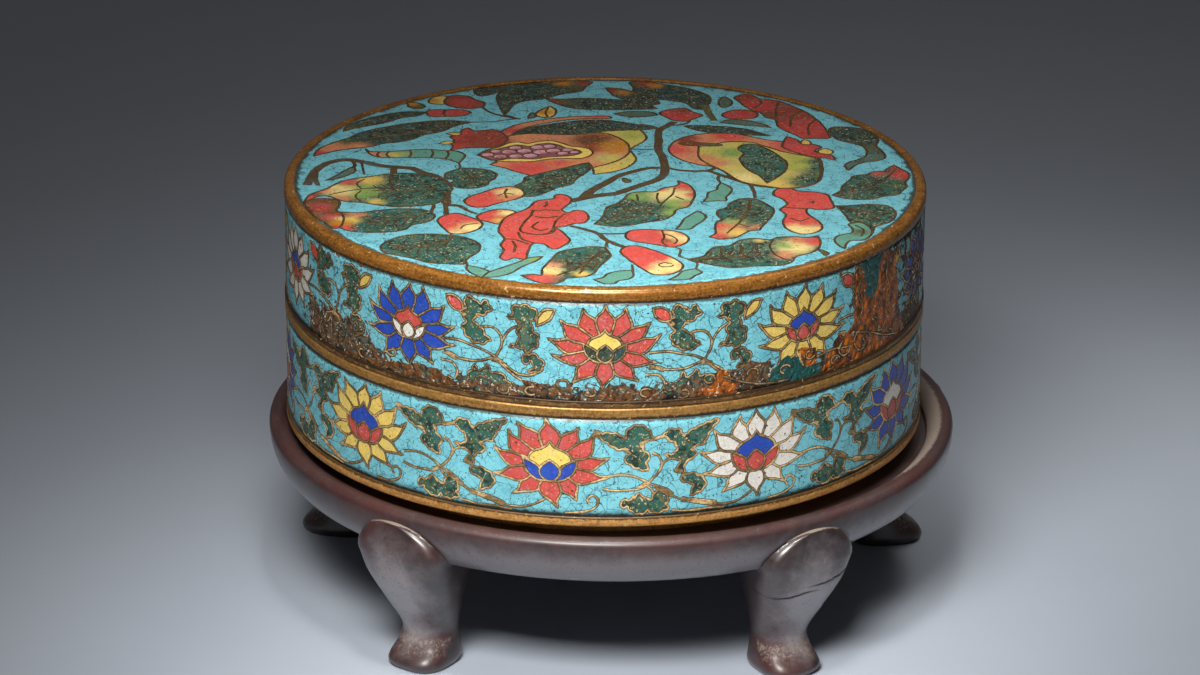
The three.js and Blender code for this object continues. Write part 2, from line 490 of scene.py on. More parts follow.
# Finishes of enamel, metal and dirt
def enamelFinish(name, pits, crazing, flecks, cloud):
    f = Finish(name, IOR=1.5)
    at = f.place()
    cell = f.field("cell", "Color")
    fleckShare = cell.also("Alpha") * flecks
    lost = f.field("loss")
    drift = f.noise(at, 4, 3)
    grain = f.noise(at, 0.3, 3, 0.6)
    colour = f.scaled(cell, 1 + cloud * (drift - 0.5) + 0.6 * (grain - 0.5))
    # fired grains in the dark colours: olive, near black and pale
    olive = f.noise(f.warped(at, 1.4, 0.8), 1.3, 3, 0.65).rise(0.5, 0.6)
    dark = f.noise(f.warped(at, 1.5, 1.0), 1.5, 4, 0.6).rise(0.48, 0.6)
    speckled = f.noise(at, 2.6, 2).rise(0.38, 0.58)
    pale = f.noise(f.warped(at, 1.1, 0.6), 0.5, 3, 0.7).rise(0.58, 0.63) * (0.3 + 0.7 * speckled)
    grains = fleckShare.rise(0.6, 0.9)
    colour = f.mix(olive * grains * 0.6, colour, tone("5f5a34"))
    colour = f.mix(dark * grains * 0.85, colour, tone("0e211c"))
    colour = f.mix(pale * fleckShare * 0.85, colour, tone("d5cba8"))
    specks = f.noise(f.warped(at, 1, 0.5), 0.75, 4, 0.75).rise(0.48, 0.6)
    colour = f.mix(specks * fleckShare * (1 - grains) * 0.7, colour, f.scaled(colour, 0.5))
    # deeper clouds, crazing and pits in the ground
    deep = f.noise(f.warped(at, 5, 3), 2.6, 4, 0.6).rise(0.5, 0.68)
    colour = f.mix(deep * crazing * 0.42, colour, tone("378fa8"))
    bent = f.warped(at, 1.9, 1.1)
    edge = f.cells(bent, 2.5, "DISTANCE_TO_EDGE")
    fine = f.cells(bent, 0.9, "DISTANCE_TO_EDGE")
    crack = (1 - edge.rise(0.0, 0.03)) * (f.noise(at, 3.2, 2) + 0.5 * lost).rise(0.4, 0.52)
    crack = crack + (1 - fine.rise(0.0, 0.06)) * (f.noise(at, 2.6, 3) + 0.5 * lost).rise(0.5, 0.6) * 0.75
    dots = f.cells(at, 0.7)
    pick = f.node("SeparateColor", None, {0: dots.also("Color")})
    dirty = f.noise(f.warped(at, 3, 2), 2.2, 3, 0.6).rise(0.42, 0.6)
    pit = (1 - dots.rise(0.13, 0.3)) * (pick > 1 - pits * (0.3 + dirty + lost))
    holes = f.cells(at, 1.7)
    chosen = f.node("SeparateColor", None, {0: holes.also("Color")})
    hole = (1 - holes.rise(0.09, 0.15)) * (chosen > 0.66)
    colour = f.mix(crack * crazing * 0.9, colour, tone("1d2f31"))
    colour = f.mix(pit * 0.8, colour, tone("26302c"))
    colour = f.mix(hole * 0.9, colour, tone("1c1a14"))
    soil = (f.field("near") + 0.9 * (f.noise(at, 1.2, 4, 0.65) - 0.5)).rise(0.45, 0.75)
    colour = f.mix(soil * 0.85, colour, tone("33291a"))
    # lost enamel: bare dirty ground with crumbs of the old fill
    eaten = (lost + 0.9 * (f.noise(f.warped(at, 2, 1), 1.5, 2, 0.5) - 0.5)).rise(0.36, 0.41)
    crumbs = f.noise(at, 1.0, 3, 0.62)
    broad = f.noise(f.warped(at, 3, 2), 2.4, 3)
    bare = f.mix(crumbs.rise(0.38, 0.62), tone("2a1d12"), tone("6c4a2a"))
    mossy = f.mix(crumbs.rise(0.42, 0.58), tone("19211c"), tone("44594b"))
    bare = f.mix(broad.rise(0.52, 0.6), bare, mossy)
    bare = f.mix(f.noise(f.warped(at, 1, 0.5), 0.8, 3, 0.7).rise(0.59, 0.64) * 0.85, bare, tone("d2cabb"))
    colour = f.mix(eaten, colour, bare)
    rough = 0.24 + 0.2 * drift + 0.3 * pit + 0.35 * eaten + 0.15 * fleckShare * grain
    height = (0.5 * drift + 0.2 * grain - 0.7 * pit - 1.2 * hole - 0.5 * crack * crazing
              - 1.2 * eaten * crumbs)
    return f.finishWith(height, 0.07, 0.6, Base_Color=colour, Roughness=rough)


def patchFinish(name):
    # old fills of lacquer and wax where the enamel was lost
    f = Finish(name, IOR=1.45)
    at = f.place()
    cell = f.field("cell", "Color")
    share = cell.also("Alpha")
    broad = f.noise(f.warped(f.stretched(at, (1, 1, 0.5)), 2.4, 2), 1.9, 4, 0.6)
    fine = f.noise(at, 0.7, 3, 0.6)
    scales = f.cells(f.warped(at, 1.6, 1.2), 1.9, "DISTANCE_TO_EDGE")
    colour = f.scaled(cell, 0.75 + 0.45 * fine)
    colour = f.mix(broad.rise(0.5, 0.58) * share.rise(0.74, 0.88) * 0.8, colour, tone("ba6518"))
    colour = f.mix((1 - broad.rise(0.4, 0.48)) * share * 0.9, colour, tone("21140a"))
    colour = f.mix((1 - scales.rise(0.02, 0.1)) * share * 0.45, colour, tone("180f08"))
    mossy = f.noise(f.warped(at, 2, 1.5), 2.2, 4, 0.65).rise(0.5, 0.58) * (1 - share.rise(0.78, 0.86))
    moss = f.mix(fine.rise(0.4, 0.6), tone("14211d"), tone("4d6a5f"))
    colour = f.mix(mossy * share * 0.7, colour, moss)
    veil = f.noise(f.warped(at, 2, 1), 2.3, 3, 0.6).rise(0.56, 0.66)
    colour = f.mix(veil * share * 0.4, colour, tone("5e4a30"))
    chips = f.noise(f.warped(at, 1, 0.5), 0.9, 3, 0.7).rise(0.61, 0.66)
    colour = f.mix(chips * share * 0.85, colour, tone("c9c0b0"))
    height = broad + 0.5 * fine + 0.6 * scales.rise(0.0, 0.25)
    return f.finishWith(height, 0.4, 0.8, Base_Color=colour, Roughness=0.16 + 0.3 * fine)


def giltFinish(name, bright, dull, tarnish, metallic, nicks=0.0, patches=0.0, edge=None, matt=0.34):
    f = Finish(name)
    at = f.place()
    streak = f.noise(f.stretched(at, (0.12, 0.12, 1)), 0.5, 4, 0.6)
    fine = f.noise(at, 0.5, 4, 0.65)
    colour = f.mix((0.4 * streak + 0.6 * fine).rise(0.36, 0.62), tone(dull), tone(bright))
    spots = f.noise(f.warped(at, 2, 1), 1.1, 4, 0.7).rise(0.56, 0.68)
    colour = f.mix(spots * tarnish, colour, tone("2e1c0a"))
    dim = f.noise(f.warped(at, 9, 5), 6, 2).rise(0.44, 0.56)
    colour = f.mix(dim * patches, colour, tone("3f2d18"))
    if edge is not None:  # dirt along the rim's border with the enamel, at that height
        above = f.node("SeparateXYZ", None, {0: at}, "Z") / mm - edge
        away = f.node("Math", {"operation": "ABSOLUTE"}, {0: above})
        dirty = (0.9 * f.noise(at, 0.8, 4, 0.7) - 0.75 * away).rise(0.0, 0.2)
        colour = f.mix(dirty * 0.85, colour, tone("2a1c0e"))
    nick = f.noise(f.warped(at, 1.5, 1.2), 0.9, 2).rise(0.67, 0.71)
    colour = f.mix(nick * nicks, colour, tone("e0c48e"))
    rough = matt + 0.2 * fine + 0.2 * spots * tarnish
    bare = metallic * (1 - 0.5 * spots * tarnish)
    height = streak * 0.6 + fine * 0.5
    return f.finishWith(height, 0.04, 0.4, Base_Color=colour, Roughness=rough, Metallic=bare)


def dirtFinish(name):
    f = Finish(name, Roughness=0.7)
    speck = f.noise(f.place(), 0.5, 3)
    return f.finishWith(None, Base_Color=f.mix(speck.rise(0.4, 0.65), tone("1d1710"), tone("3d3120")))


groundEnamel = enamelFinish("turquoise_enamel", pits=0.55, crazing=1.0, flecks=0.0, cloud=0.3)
colourEnamel = enamelFinish("coloured_enamel", pits=0.24, crazing=0.3, flecks=1.0, cloud=0.35)
oldFill = patchFinish("old_fill")
topWireGilt = giltFinish("dark_wire", "8a683c", "3c2a13", 0.7, 0.5)
lidWireGilt = giltFinish("lid_wire", "ecca90", "6a4a26", 0.6, 0.5, patches=0.6)
boxWireGilt = giltFinish("box_wire", "f6d8a0", "a0743a", 0.35, 0.45, patches=0.65)
grime = dirtFinish("wire_grime")
print("finishes of the enamel and the wires ready")


# Bare metal of lid and box: the enamel fields are set out from its rims
metal = {"wall": 2.4, "disc": 2.4, "topRim": 2.6, "lidLip": 1.4, "boxTopRim": 2.1, "boxBottomRim": 2.0,
         "rimWidth": 1.8, "rimRound": 1.2, "edge": 0.45, "boxSoftEdge": 0.25, "lipEdge": 0.2,
         "topEdge": 0.3, "inset": 0.25, "bed": 0.5, "innerRound": 2.0, "lipRise": 3.2, "lipLap": 4.0,
         "lip": 1.2, "lipGap": 0.4, "footOuter": 54, "footInner": 50.5, "footDrop": 3.6, "wobble": 0.05}
boxEdge = boxLow[2] + metal["footDrop"]
lidWall = (seam + metal["lidLip"], lidTop - metal["topRim"])  # where each wall's enamel starts and ends
boxWall = (boxEdge + metal["boxBottomRim"], seam - metal["boxTopRim"])
wallInside, wallBed = boxRadius - metal["wall"], boxRadius - metal["bed"]
# painted light: the box's low rim gets a brighter, less metallic copy of the rim gilt, lit as if it did not
# mirror the dark tray
lowRimLitGilt = giltFinish("low_rim_lit_gilt", "d09e5e", "9a6c38", 0.4, 0.3, nicks=0.7, edge=boxWall[0])
rimGilt = giltFinish("rim_gilt", "b4884a", "7e5a2c", 0.45, 0.5, nicks=0.6, edge=boxWall[1])
# painted shade: the lid's top rim gets a darker copy of the rim gilt, to offset the top lamp's light on it;
# its more orange tone is the rim's own
lidRimShadedGilt = giltFinish("lid_rim_shaded_gilt", "a26e30", "6a4218", 0.55, 0.3, nicks=0.7, edge=lidWall[1], matt=0.14)
lipGilt = giltFinish("lid_lip_gilt", "8f6a3c", "452d16", 0.8, 0.35, nicks=0.6, patches=0.5, edge=lidWall[0])


def bend(radius, height, across, up, start, end, steps=8):  # part of an ellipse in a turning profile
    angles = np.radians(np.linspace(start, end, steps + 1))
    return [(radius + across * math.cos(a), height + up * math.sin(a)) for a in angles]


def outerEdge(height, size, start, end, steps):  # a rounded edge at the wall's outside
    return bend(boxRadius - size, height, size, size, start, end, steps)


def turned(name, profile, axis, finishes, wobble, steps=288):
    # a profile of (radius, height) from the axis back to the axis, turned once round
    angles = rounds(steps)
    places, rows = [], []
    for r, z in profile:
        if r < 1e-6:
            rows.append([len(places)] * steps)
            places.append((axis[0], axis[1], z))
            continue
        rows.append(list(range(len(places), len(places) + steps)))
        for a in angles:
            reach = r + wobble * noise.noise((2.2 * math.cos(a), 2.2 * math.sin(a), z / 9))
            places.append((axis[0] + reach * math.cos(a), axis[1] + reach * math.sin(a), z))
    faces = []
    for low, high in zip(rows, rows[1:]):
        for k in range(steps):
            ring = [low[k], low[(k + 1) % steps], high[(k + 1) % steps], high[k]]
            faces.append(list(dict.fromkeys(ring)))
    made = newObject(name, places, faces, finishes)
    made.data.set_sharp_from_angle(angle=math.radians(38))
    print(name, len(faces), "faces")
    return made


def lidMetal():
    m = metal
    low, high = lidWall
    ceiling = lidTop - m["disc"]
    inner, thin, soft = m["innerRound"], m["lipEdge"], m["topEdge"]
    rimInside = boxRadius - m["rimWidth"] - m["inset"]
    return turned("lid_metal", [
        (0, ceiling), *bend(wallInside - inner, ceiling - inner, inner, inner, 90, 0), (wallInside, seam),
        *outerEdge(seam + m["edge"], m["edge"], -90, 0, 4), *outerEdge(low - thin, thin, 0, 90, 3),
        (wallBed, low), (wallBed, high),
        *outerEdge(high + soft, soft, -90, 0, 3),
        *outerEdge(lidTop - m["rimRound"], m["rimRound"], 0, 90, 10),
        (boxRadius - m["rimWidth"], lidTop), (rimInside, lidTop - soft), (rimInside, lidTop - m["bed"]),
        (0, lidTop - m["bed"])], boxAxis, [lidRimShadedGilt, lipGilt], m["wobble"])


def boxMetal():
    m = metal
    low, high = boxWall
    lipOuter = wallInside - m["lipGap"]
    lipInner = lipOuter - m["lip"]
    floor = boxEdge + m["disc"]
    inner, soft = m["innerRound"], m["boxSoftEdge"]
    return turned("box_metal", [
        (0, boxEdge), (m["footInner"], boxEdge), (m["footInner"], boxLow[2]), (m["footOuter"], boxLow[2]),
        (m["footOuter"], boxEdge),
        *outerEdge(boxEdge + m["edge"], m["edge"], -90, 0, 4), *outerEdge(low - soft, soft, 0, 90, 3),
        (wallBed, low), (wallBed, high),
        *outerEdge(high + soft, soft, -90, 0, 3), *outerEdge(seam - m["edge"], m["edge"], 0, 90, 5),
        (lipOuter, seam), (lipOuter, seam + m["lipRise"]), (lipInner, seam + m["lipRise"]),
        (lipInner, seam - m["lipLap"]), (wallInside, seam - m["lipLap"] - m["lip"]),
        *bend(wallInside - inner, floor + inner, inner, inner, 0, -90), (0, floor)],
        boxAxis, [rimGilt, lowRimLitGilt], m["wobble"])


def lowerFinish(made, height):  # the second finish below that height
    below = [p.center.z < height * mm for p in made.data.polygons]
    made.data.polygons.foreach_set("material_index", np.array(below, np.int32))


lidShell = lidMetal()
lowerFinish(lidShell, lidWall[0] + 0.1)
settle(lidShell, "lid")
boxShell = boxMetal()
# below the box's enamel, the brighter painted-light copy of the gilt
lowerFinish(boxShell, boxWall[0])
settle(boxShell, "box")


# Lid top: a spray of pomegranates, in millimetres from the lid's middle, +y to the back
lidField = {"backDepth": 0.4, "wire": 0.24, "dirt": 0.12, "grid": 1.7, "margin": 1.0}


def lidSpray():
    d = Drawing(lidField["wire"], lidField["dirt"])
    # back leaves, and the stems between them
    d.cell(shape((-26, 50), (-25.5, 54), (-21, 56.5), (-17.5, 57.5), (-18.5, 54), (-21.5, 50.5),
                 (-24.5, 48)), "darkGreen")
    d.cell(shape((-19.8, 36.5, 1), (-19, 39.5), (-18, 43), (-16, 45.3), (-12.5, 46.5), (-9, 49.5),
                 (-5, 51.5), (-4, 54.5), (-2.8, 57.5), (-6, 58.3), (-11, 57), (-14.5, 57.3), (-18.5, 57),
                 (-20.5, 52), (-21.5, 47.5), (-20.7, 41)),
           wash("darkGreen", (-6, 56, 5, "olive"), (-3.6, 56.6, 3, "brick"), (-8.6, 56.6, 2.4, "amber")))
    d.cell(shape((4.8, 57.4), (8, 58.4), (11, 56.5), (14.5, 55), (18, 52.5), (20.3, 49.5), (20.5, 45),
                 (19.3, 41), (17.5, 41.5), (15.5, 45), (11, 46.8), (7.5, 47), (5.2, 50), (5.5, 54)),
           wash("darkGreen", (7.3, 57, 4, "brick"), (10, 55.5, 2.2, "amber"), (5.2, 56.5, 2, "olive")))
    d.cell(shape((0, 54, 1), (3, 53.3), (5.3, 51.5), (9, 48.3), (10.6, 44.3), (8.5, 43.5), (5, 45.5),
                 (2, 48.5), (0.6, 51.5)), wash("darkGreen", (1, 53, 3, "brick"), (3.4, 51.2, 2.4, "amber")))
    d.cell(shape((-11.8, 46.9, 1), (-9, 46.7), (-5, 47.3), (0, 47), (4.5, 46), (8, 44), (10.2, 41.3, 1),
                 (7, 40.7), (2, 40.3), (-3, 40.4), (-6.5, 41.2), (-9, 43), (-10.7, 45)),
           wash("darkGreen", (-10.5, 45.5, 3.4, "brick"), (-7.6, 44.5, 2.6, "olive")))
    d.branch((1.8, 1.4), (19.5, 44), (20.2, 39), (21.3, 34.2), fill="olive")
    d.cell(shape((23.5, 49, 1), (24.8, 46.5), (24.5, 43.5), (23, 42.3), (22.2, 45), (22.6, 47.5)),
           "greyGreen")
    d.cell(shape((1.6, 38.2, 1), (5, 39.6), (9, 39.2), (10, 37.3), (6, 36.2), (3.5, 36.7)), "greyGreen")
    d.cell(shape((22.3, 33.2, 1), (24, 34.9), (27.5, 34.6), (30.5, 32.8), (32.3, 30.3, 1), (28.5, 31.4),
                 (25, 32.2)), "greyGreen")
    d.cell(shape((15.2, 31, 1), (18, 31.4), (21.5, 31), (25, 30.4), (28, 29), (30, 27.3), (32, 25.4, 1),
                 (28.5, 25.8), (25, 26.3), (20, 27.2), (17, 29)), "darkGreen")
    d.cell(shape((-50.9, 26, 1), (-50.4, 29.2), (-47.5, 33), (-43.5, 36.2), (-39, 38.2), (-35.2, 38.2, 1),
                 (-36.5, 36), (-40, 34.4), (-42.5, 31.8), (-46, 29.6), (-49, 27.8)),
           wash("darkGreen", (-50.5, 27.5, 4, "olive")))
    d.cell(shape((-55.9, 11.3, 1), (-55.5, 14.5), (-54, 17.5), (-51.5, 20.5), (-49.5, 22.5), (-48, 25),
                 (-45, 27.5), (-41, 30), (-37, 31.8), (-33, 33), (-29.5, 33), (-26, 32.2, 1), (-28.5, 30.5),
                 (-30.3, 28.5), (-31.7, 26.5), (-35, 24.5), (-37.5, 21.5), (-40, 20), (-43, 19),
                 (-45, 17.3), (-48, 16.2), (-51, 15), (-53.5, 13.3)),
           wash("darkGreen", (-51, 17.5, 6, "mossGreen"), (-47.5, 17, 3.5, "peach"),
                (-53, 16.5, 5, "peach"), (-55.5, 12.5, 3.6, "red")))
    d.line((-26, 32.2), (-22, 32.6), (-19.5, 33.8), (-16.5, 34.5))
    d.branch(0.8, (-24.8, 42.5), (-22.8, 38.5), (-20, 36), (-16.6, 34.3))
    d.line((-19.8, 36.5), (-18.5, 35.6), (-17.2, 34.5), wire=0.7)
    d.cell(shape((-39.2, 44.2, 1), (-37, 43.6), (-35.5, 41.5), (-36.5, 40), (-38.6, 41)),
           wash("olive", (-38, 43, 2, "amber")))
    d.cell(shape((-34.9, 44), (-34.2, 47), (-32, 48), (-30.5, 46), (-31.3, 43.2), (-33.5, 43)),
           wash("straw", (-34, 45, 2, "amber")))
    d.cell(shape((-31.8, 45.5), (-30.3, 48.4), (-27.3, 48), (-25.8, 46), (-24, 44.3), (-24.2, 41.7),
                 (-26.5, 40.3), (-29.5, 41), (-31.5, 43)), wash("brick", (-28, 44, 3.5, "red")))
    d.cell(shape((-35, 37), (-34.6, 39.3), (-31, 39.6), (-28, 39.6), (-26.4, 38), (-28, 36), (-31, 35.4),
                 (-34, 35.4)), "red")
    d.line((-31.4, 39.5), (-31.8, 37.5), (-31.3, 35.5))
    d.cell(shape((-11, 42.4, 1), (-9.8, 40), (-10, 37), (-11, 35.5), (-13, 35.8), (-13.8, 37.5),
                 (-12.8, 39.8)), wash("straw", (-12, 38.5, 2.4, "amber")))
    d.line((-11.3, 41.5), (-11.8, 38.5), (-11.4, 35.8))
    d.cell(shape((-15.2, 34.6, 1), (-15, 36.8), (-14.4, 38.4), (-13.6, 36.6), (-14.2, 35)), "greyGreen")
    # right-hand red blossom and leaf at the back
    d.cell(shape((25.4, 48.4), (27, 50.5), (28.8, 50.2), (30.3, 48), (32.3, 47.4), (34.7, 46), (36.7, 43.5),
                 (38.7, 41), (40.2, 38), (41.6, 34.5), (42.6, 31), (43.3, 27), (43.3, 24.4), (40, 24.2),
                 (38.2, 24.1), (37, 26), (35, 28.5), (33.5, 31.5), (33.2, 35), (31.5, 36.3), (30.5, 39),
                 (28.6, 41), (27.2, 43.5), (26.3, 46)),
           wash("brick", (39, 29, 9, "red"), (30, 44, 5, "red"), (31.5, 38, 2.4, "umber")))
    d.cell(shape((22.8, 37.6), (24, 40), (26, 41), (28.4, 40.6), (29.8, 38.6), (29, 36), (26, 35.4),
                 (24, 35.7)), wash("red", (28, 41, 1.8, "olive")))
    d.lines(((30.3, 48), (30.6, 45), (29, 42)), ((34, 45.5), (33.5, 41), (33.2, 36)),
            ((38.6, 41), (36.5, 37), (36, 31)), ((41, 35.5), (39.5, 31), (39.5, 26)))
    d.cell(shape((43.9, 30.6), (47, 31.2), (50, 30), (52.2, 27.5), (52.8, 23.5), (52.3, 20), (53.3, 17),
                 (53.8, 13.5), (52.5, 11.5), (50, 10.5), (48.3, 9.3), (47.3, 7.5), (46.4, 5.6, 1),
                 (45.8, 8), (46.5, 10.2), (48.5, 12), (50, 14), (50.3, 17), (49.6, 19.8), (47.5, 21.5),
                 (45, 23.5), (43.8, 27)),
           wash("darkGreen", (51, 18.5, 3, "olive"), (51.5, 13, 4.5, "greyGreen"), (47, 8, 4, "greyGreen")))
    # trunk and branches
    d.branch((1.5, 2.0), (13.4, 33.5), (12, 31), (10.4, 28), (10.3, 22), (10.2, 17), (11, 12), (11.4, 6),
             (11, 2), (9.5, -1), (7.5, -3), (4.5, -6), (2, -8.5), (-1.5, -9.8), (-3.6, -11), (-6.5, -13))
    d.branch((1.2, 0.8), (10.4, 28.5), (9, 30.6), (6.5, 31.8))
    d.branch((0.9, 0.6), (12.4, 31.5), (14.4, 31.6), (16, 32.8), (16.4, 34.5))
    d.branch((1.3, 2.2), (11, 6.3), (8.2, 6), (5, 3.7), (2.5, 1.4), (0.5, -2), (-1.4, -5), (-3, -8),
             (-4, -11))
    d.branch((0.9, 1.5), (11.5, 6.8), (14, 5), (17, 4.5), (19.6, 4.6), (22, 2.4), (25, -0.4), (28, -2.8),
             (32, -4.4))
    d.branch((1.4, 0.8), (19.4, 4.6), (20.7, 6), (21.6, 8.5))
    d.branch((0.8, 0.6), (22, 2.5), (21.4, 0.6), (22, -2.4))
    d.branch((0.9, 0.7), (27.5, -3), (28, -6), (28.3, -10.6))
    d.branch(0.6, (4.4, 17.1), (7, 16.9), (10, 17))
    d.cell(shape((3.4, 0.3), (4.4, -0.6), (4.8, -2), (3.9, -2.3), (3.4, -1)), "olive")
    d.branch((1.7, 1.9), (-56.4, -5.2), (-56, -2), (-55, 3.5), (-53, 7.5), (-50, 9.4), (-46.5, 8.4),
             (-43, 6.3), (-39.5, 5.3), (-36.8, 4.8), (-35, 2.6), (-33, 1.2), (-31, -1.5), (-29.8, -5),
             (-30, -10), (-29.7, -15))
    d.branch((1.5, 0.9), (-55.2, 1.5), (-55, -2), (-54.2, -5.4))
    d.branch(1.4, (-40.3, 5.4), (-40.3, 1.4))
    d.line((-48.3, 8.6), (-47.8, 6.5), (-48, 5.2), wire=0.5)
    d.line((-46.6, 7.8), (-46.2, 4.5), (-45.8, 1))
    d.branch((0.9, 1.1), (-30, -13), (-29.8, -16.5), (-29.6, -21))
    d.branch((1.4, 0.7), (-29.6, -15.6), (-27.2, -16.2), (-25.6, -18.8), (-23.8, -20.6))
    d.branch(0.8, (-32.3, -14.6), (-32.1, -17), (-32.7, -20.4))
    d.branch((1.0, 1.3), (-6.4, -26.6), (-3.5, -28.6), (-1.2, -30.8), (0, -33.6), (1.6, -35.8),
             (4.4, -38.6))
    d.branch(0.8, (-1.6, -30.6), (1, -30.7), (4.6, -30.5))
    d.branch((0.7, 0.5), (0.4, -34.6), (0.3, -37), (0.1, -41))
    d.branch(0.5, (-28.4, -31), (-28.3, -34), (-29.6, -37.6))
    d.branch(0.6, (-25.4, -45.5), (-25, -48), (-24.7, -50))
    d.branch(0.5, (5.1, -47), (5.1, -49), (5.2, -50.6))
    d.branch(0.5, (16.3, -44.6), (17, -46.5), (16.6, -49.3))
    d.line((11, -37), (13.8, -38.5), (13.8, -42.6), (15.6, -44))
    # small and curled leaves
    d.cell(shape((-48, 5.6, 1), (-47.6, 3), (-49, 0.5), (-51, -1.5), (-52.9, -2.4, 1), (-51, 0.5),
                 (-49.8, 3)), "greyGreen")
    d.cell(shape((-46.2, 16, 1), (-45.3, 14.5), (-43, 14.3), (-40, 14.8), (-37, 15.6), (-34, 15.9),
                 (-31, 15.3), (-28.6, 15), (-27, 13), (-27.3, 10.5), (-28, 8, 1), (-30, 10), (-33, 11),
                 (-37, 11), (-40, 10.8), (-43, 11), (-45, 12.5)),
           wash("paleGreen", (-44.5, 13, 3.2, "peach"), (-40.6, 12.6, 2.2, "straw"),
                (-38.6, 13, 1.6, "yellowGreen")))
    d.lines(((-43.4, 14.2), (-43.8, 12.6), (-43.2, 11)), ((-41.6, 14.6), (-42, 12.6), (-41.3, 10.9)),
            ((-37.6, 15.4), (-37.3, 13), (-37.7, 11)), ((-33.4, 15.8), (-33.1, 13.5), (-33.4, 11.1)),
            ((-30.4, 15.2), (-30.1, 13), (-30.6, 10.4)))
    d.branch(0.5, (-28, 8.2), (-27.8, 6.6), (-27.6, 5))
    d.cell(shape((-27.5, 5.3, 1), (-25, 5.1), (-22.5, 4.3), (-20.7, 2.2), (-21, -0.5), (-22, -2.5),
                 (-22.5, -4.5), (-25, -6.3), (-28, -5.8), (-29.3, -3.5), (-28.6, -2), (-30.3, -0.3),
                 (-30.2, 2.3), (-28.8, 4)), "green")
    # left pomegranate, split open
    d.cell(shape((-0.6, 27.4), (2, 28), (5, 28.8), (6.6, 28.3), (7.6, 26), (7.9, 23.4), (7, 20.8),
                 (5.6, 18.6), (4.8, 16.6), (5.4, 14), (5.9, 11), (5.1, 8), (3.5, 5.5), (1, 3.5),
                 (-2.2, 2.2, 1), (-2.4, 5.6), (-3.2, 9), (-4, 16), (-3, 24)),
           wash("husk", (1, 6, 4, "straw"), (5, 25, 4, "yellowGreen")))
    d.cell(shape((-20.6, 26), (-18.2, 30), (-15, 32.6), (-11, 34.7), (-7, 35.9), (-3, 36.4), (0.6, 36.5),
                 (1, 35.1), (-4, 34.8), (-8, 33.8), (-12, 31.8), (-15.5, 29.3), (-17.4, 26.6), (-18.4, 23),
                 (-20.5, 23)), wash("peach", (-19, 28, 4, "red"), (-2, 36, 4, "coral")), wire=0.24)
    d.cell(shape((-19.5, 23), (-17, 25.4), (-11, 25.8), (-4, 26.2), (0, 26.2), (2.4, 23.8), (4.1, 20.6),
                 (4.7, 17), (4.3, 14), (2.9, 11), (0.4, 8.2), (-2.4, 6.1, 1), (-3.4, 8.7), (-6, 7.2),
                 (-9, 5), (-11.5, 2.8), (-14, 1.2, 1), (-16.5, 3), (-19, 5.3), (-22, 7.3, 1), (-20.8, 9.5),
                 (-22.5, 10.8), (-24.6, 12.8, 1), (-23.3, 15), (-21.5, 17.4), (-20.4, 20)),
           wash("peach", (-14.5, 5, 7, "coral"), (-8.5, 8.5, 2.5, "coral"), (-2.2, 22, 6.5, "umber"),
                (-2.4, 17.5, 3, "brick"), (2.4, 18.6, 5.5, "amber"), (0.6, 11.5, 4, "husk"),
                (-20.5, 21, 3.5, "brick"), (-22, 16, 3, "red")))
    d.cell(shape((-29.9, 15.4, 1), (-29.4, 18), (-30, 19.8), (-29.2, 21.4), (-30, 23), (-29.6, 24.4),
                 (-28.3, 25.4), (-27.9, 27.4), (-26.8, 28.9, 1), (-25.5, 27.1), (-24, 27.3), (-22, 27.9),
                 (-20.4, 26.6), (-19.2, 24), (-19, 21.4), (-20.2, 18.8), (-22, 17.3), (-25, 17),
                 (-27.5, 16.7)),
           wash("brick", (-27.5, 26.5, 3.2, "red"), (-29, 17.5, 3.4, "red"), (-28.6, 22.5, 2, "red")))
    d.cell(shape((-30.9, 25.2, 1), (-29.4, 26.1), (-27.9, 25.2), (-28.9, 24.1)), "straw", wire=0.2)
    d.cell(shape((-32.3, 19.2, 1), (-30.6, 20.9), (-29.2, 20.4), (-30.2, 19)), "straw", wire=0.2)
    d.cell(shape((-20.9, 9.5), (-18, 9.1), (-14, 9.3), (-11, 10.7), (-8, 11.2), (-4.5, 11.4), (-2.7, 13.4),
                 (-2.5, 15.5), (-3.8, 17.6), (-6.5, 18.4), (-8.5, 20.2), (-10.5, 21.6), (-13, 21),
                 (-15, 19.8), (-17, 20.6), (-18.6, 20), (-20.5, 17.6), (-23, 15.3), (-24.5, 12.8, 1),
                 (-22.6, 10.6)), "yellow")
    d.cell(shape((-24.4, 12.8, 1), (-22.8, 10.9), (-20.6, 10), (-18, 11), (-14, 10.8), (-11, 12),
                 (-7, 12.8), (-5.2, 13.8), (-4.7, 15), (-5.5, 16.4), (-7.5, 17.3), (-9, 18.9), (-10.6, 20),
                 (-13, 19.4), (-14.6, 18.1), (-17, 18.9), (-19, 17.6), (-21.5, 15.9), (-23, 14.8)), "rose")
    for x, y, size in [(-22.6, 13, 1.3), (-21, 15, 1.2), (-20.2, 12, 1.4), (-18.6, 14.8, 1.5),
                       (-17.4, 17.2, 1.3), (-17.2, 12.3, 1.4), (-15.6, 15.4, 1.5), (-14.4, 12.7, 1.5),
                       (-13, 17.6, 1.5), (-12.4, 14.8, 1.6), (-10.8, 18.2, 1.3), (-10, 15.6, 1.5),
                       (-8.2, 14.2, 1.2), (-7.2, 16.2, 1.2), (-6, 14.9, 1.0)]:
        turn = rounds(14)
        d.cell(np.stack([x + size * np.cos(turn), y + 0.85 * size * np.sin(turn)], 1),
               wash("pink", (x + 0.6, y - 0.7, 1.2, "rose")), wire=0.16)
    d.cell(shape((-18.4, 24.3, 1), (-17, 27.3), (-14.5, 29.5), (-11, 31.3), (-7, 33.1), (-3, 34.1),
                 (0.5, 33.9), (4, 32.6), (7, 31.1), (10, 29.4, 1), (7.5, 28.4), (4, 28.2), (0.5, 27.5),
                 (-3, 26.1), (-7, 25.2), (-11, 25.4), (-14.5, 25.7), (-16.7, 25.2)), "darkGreen")
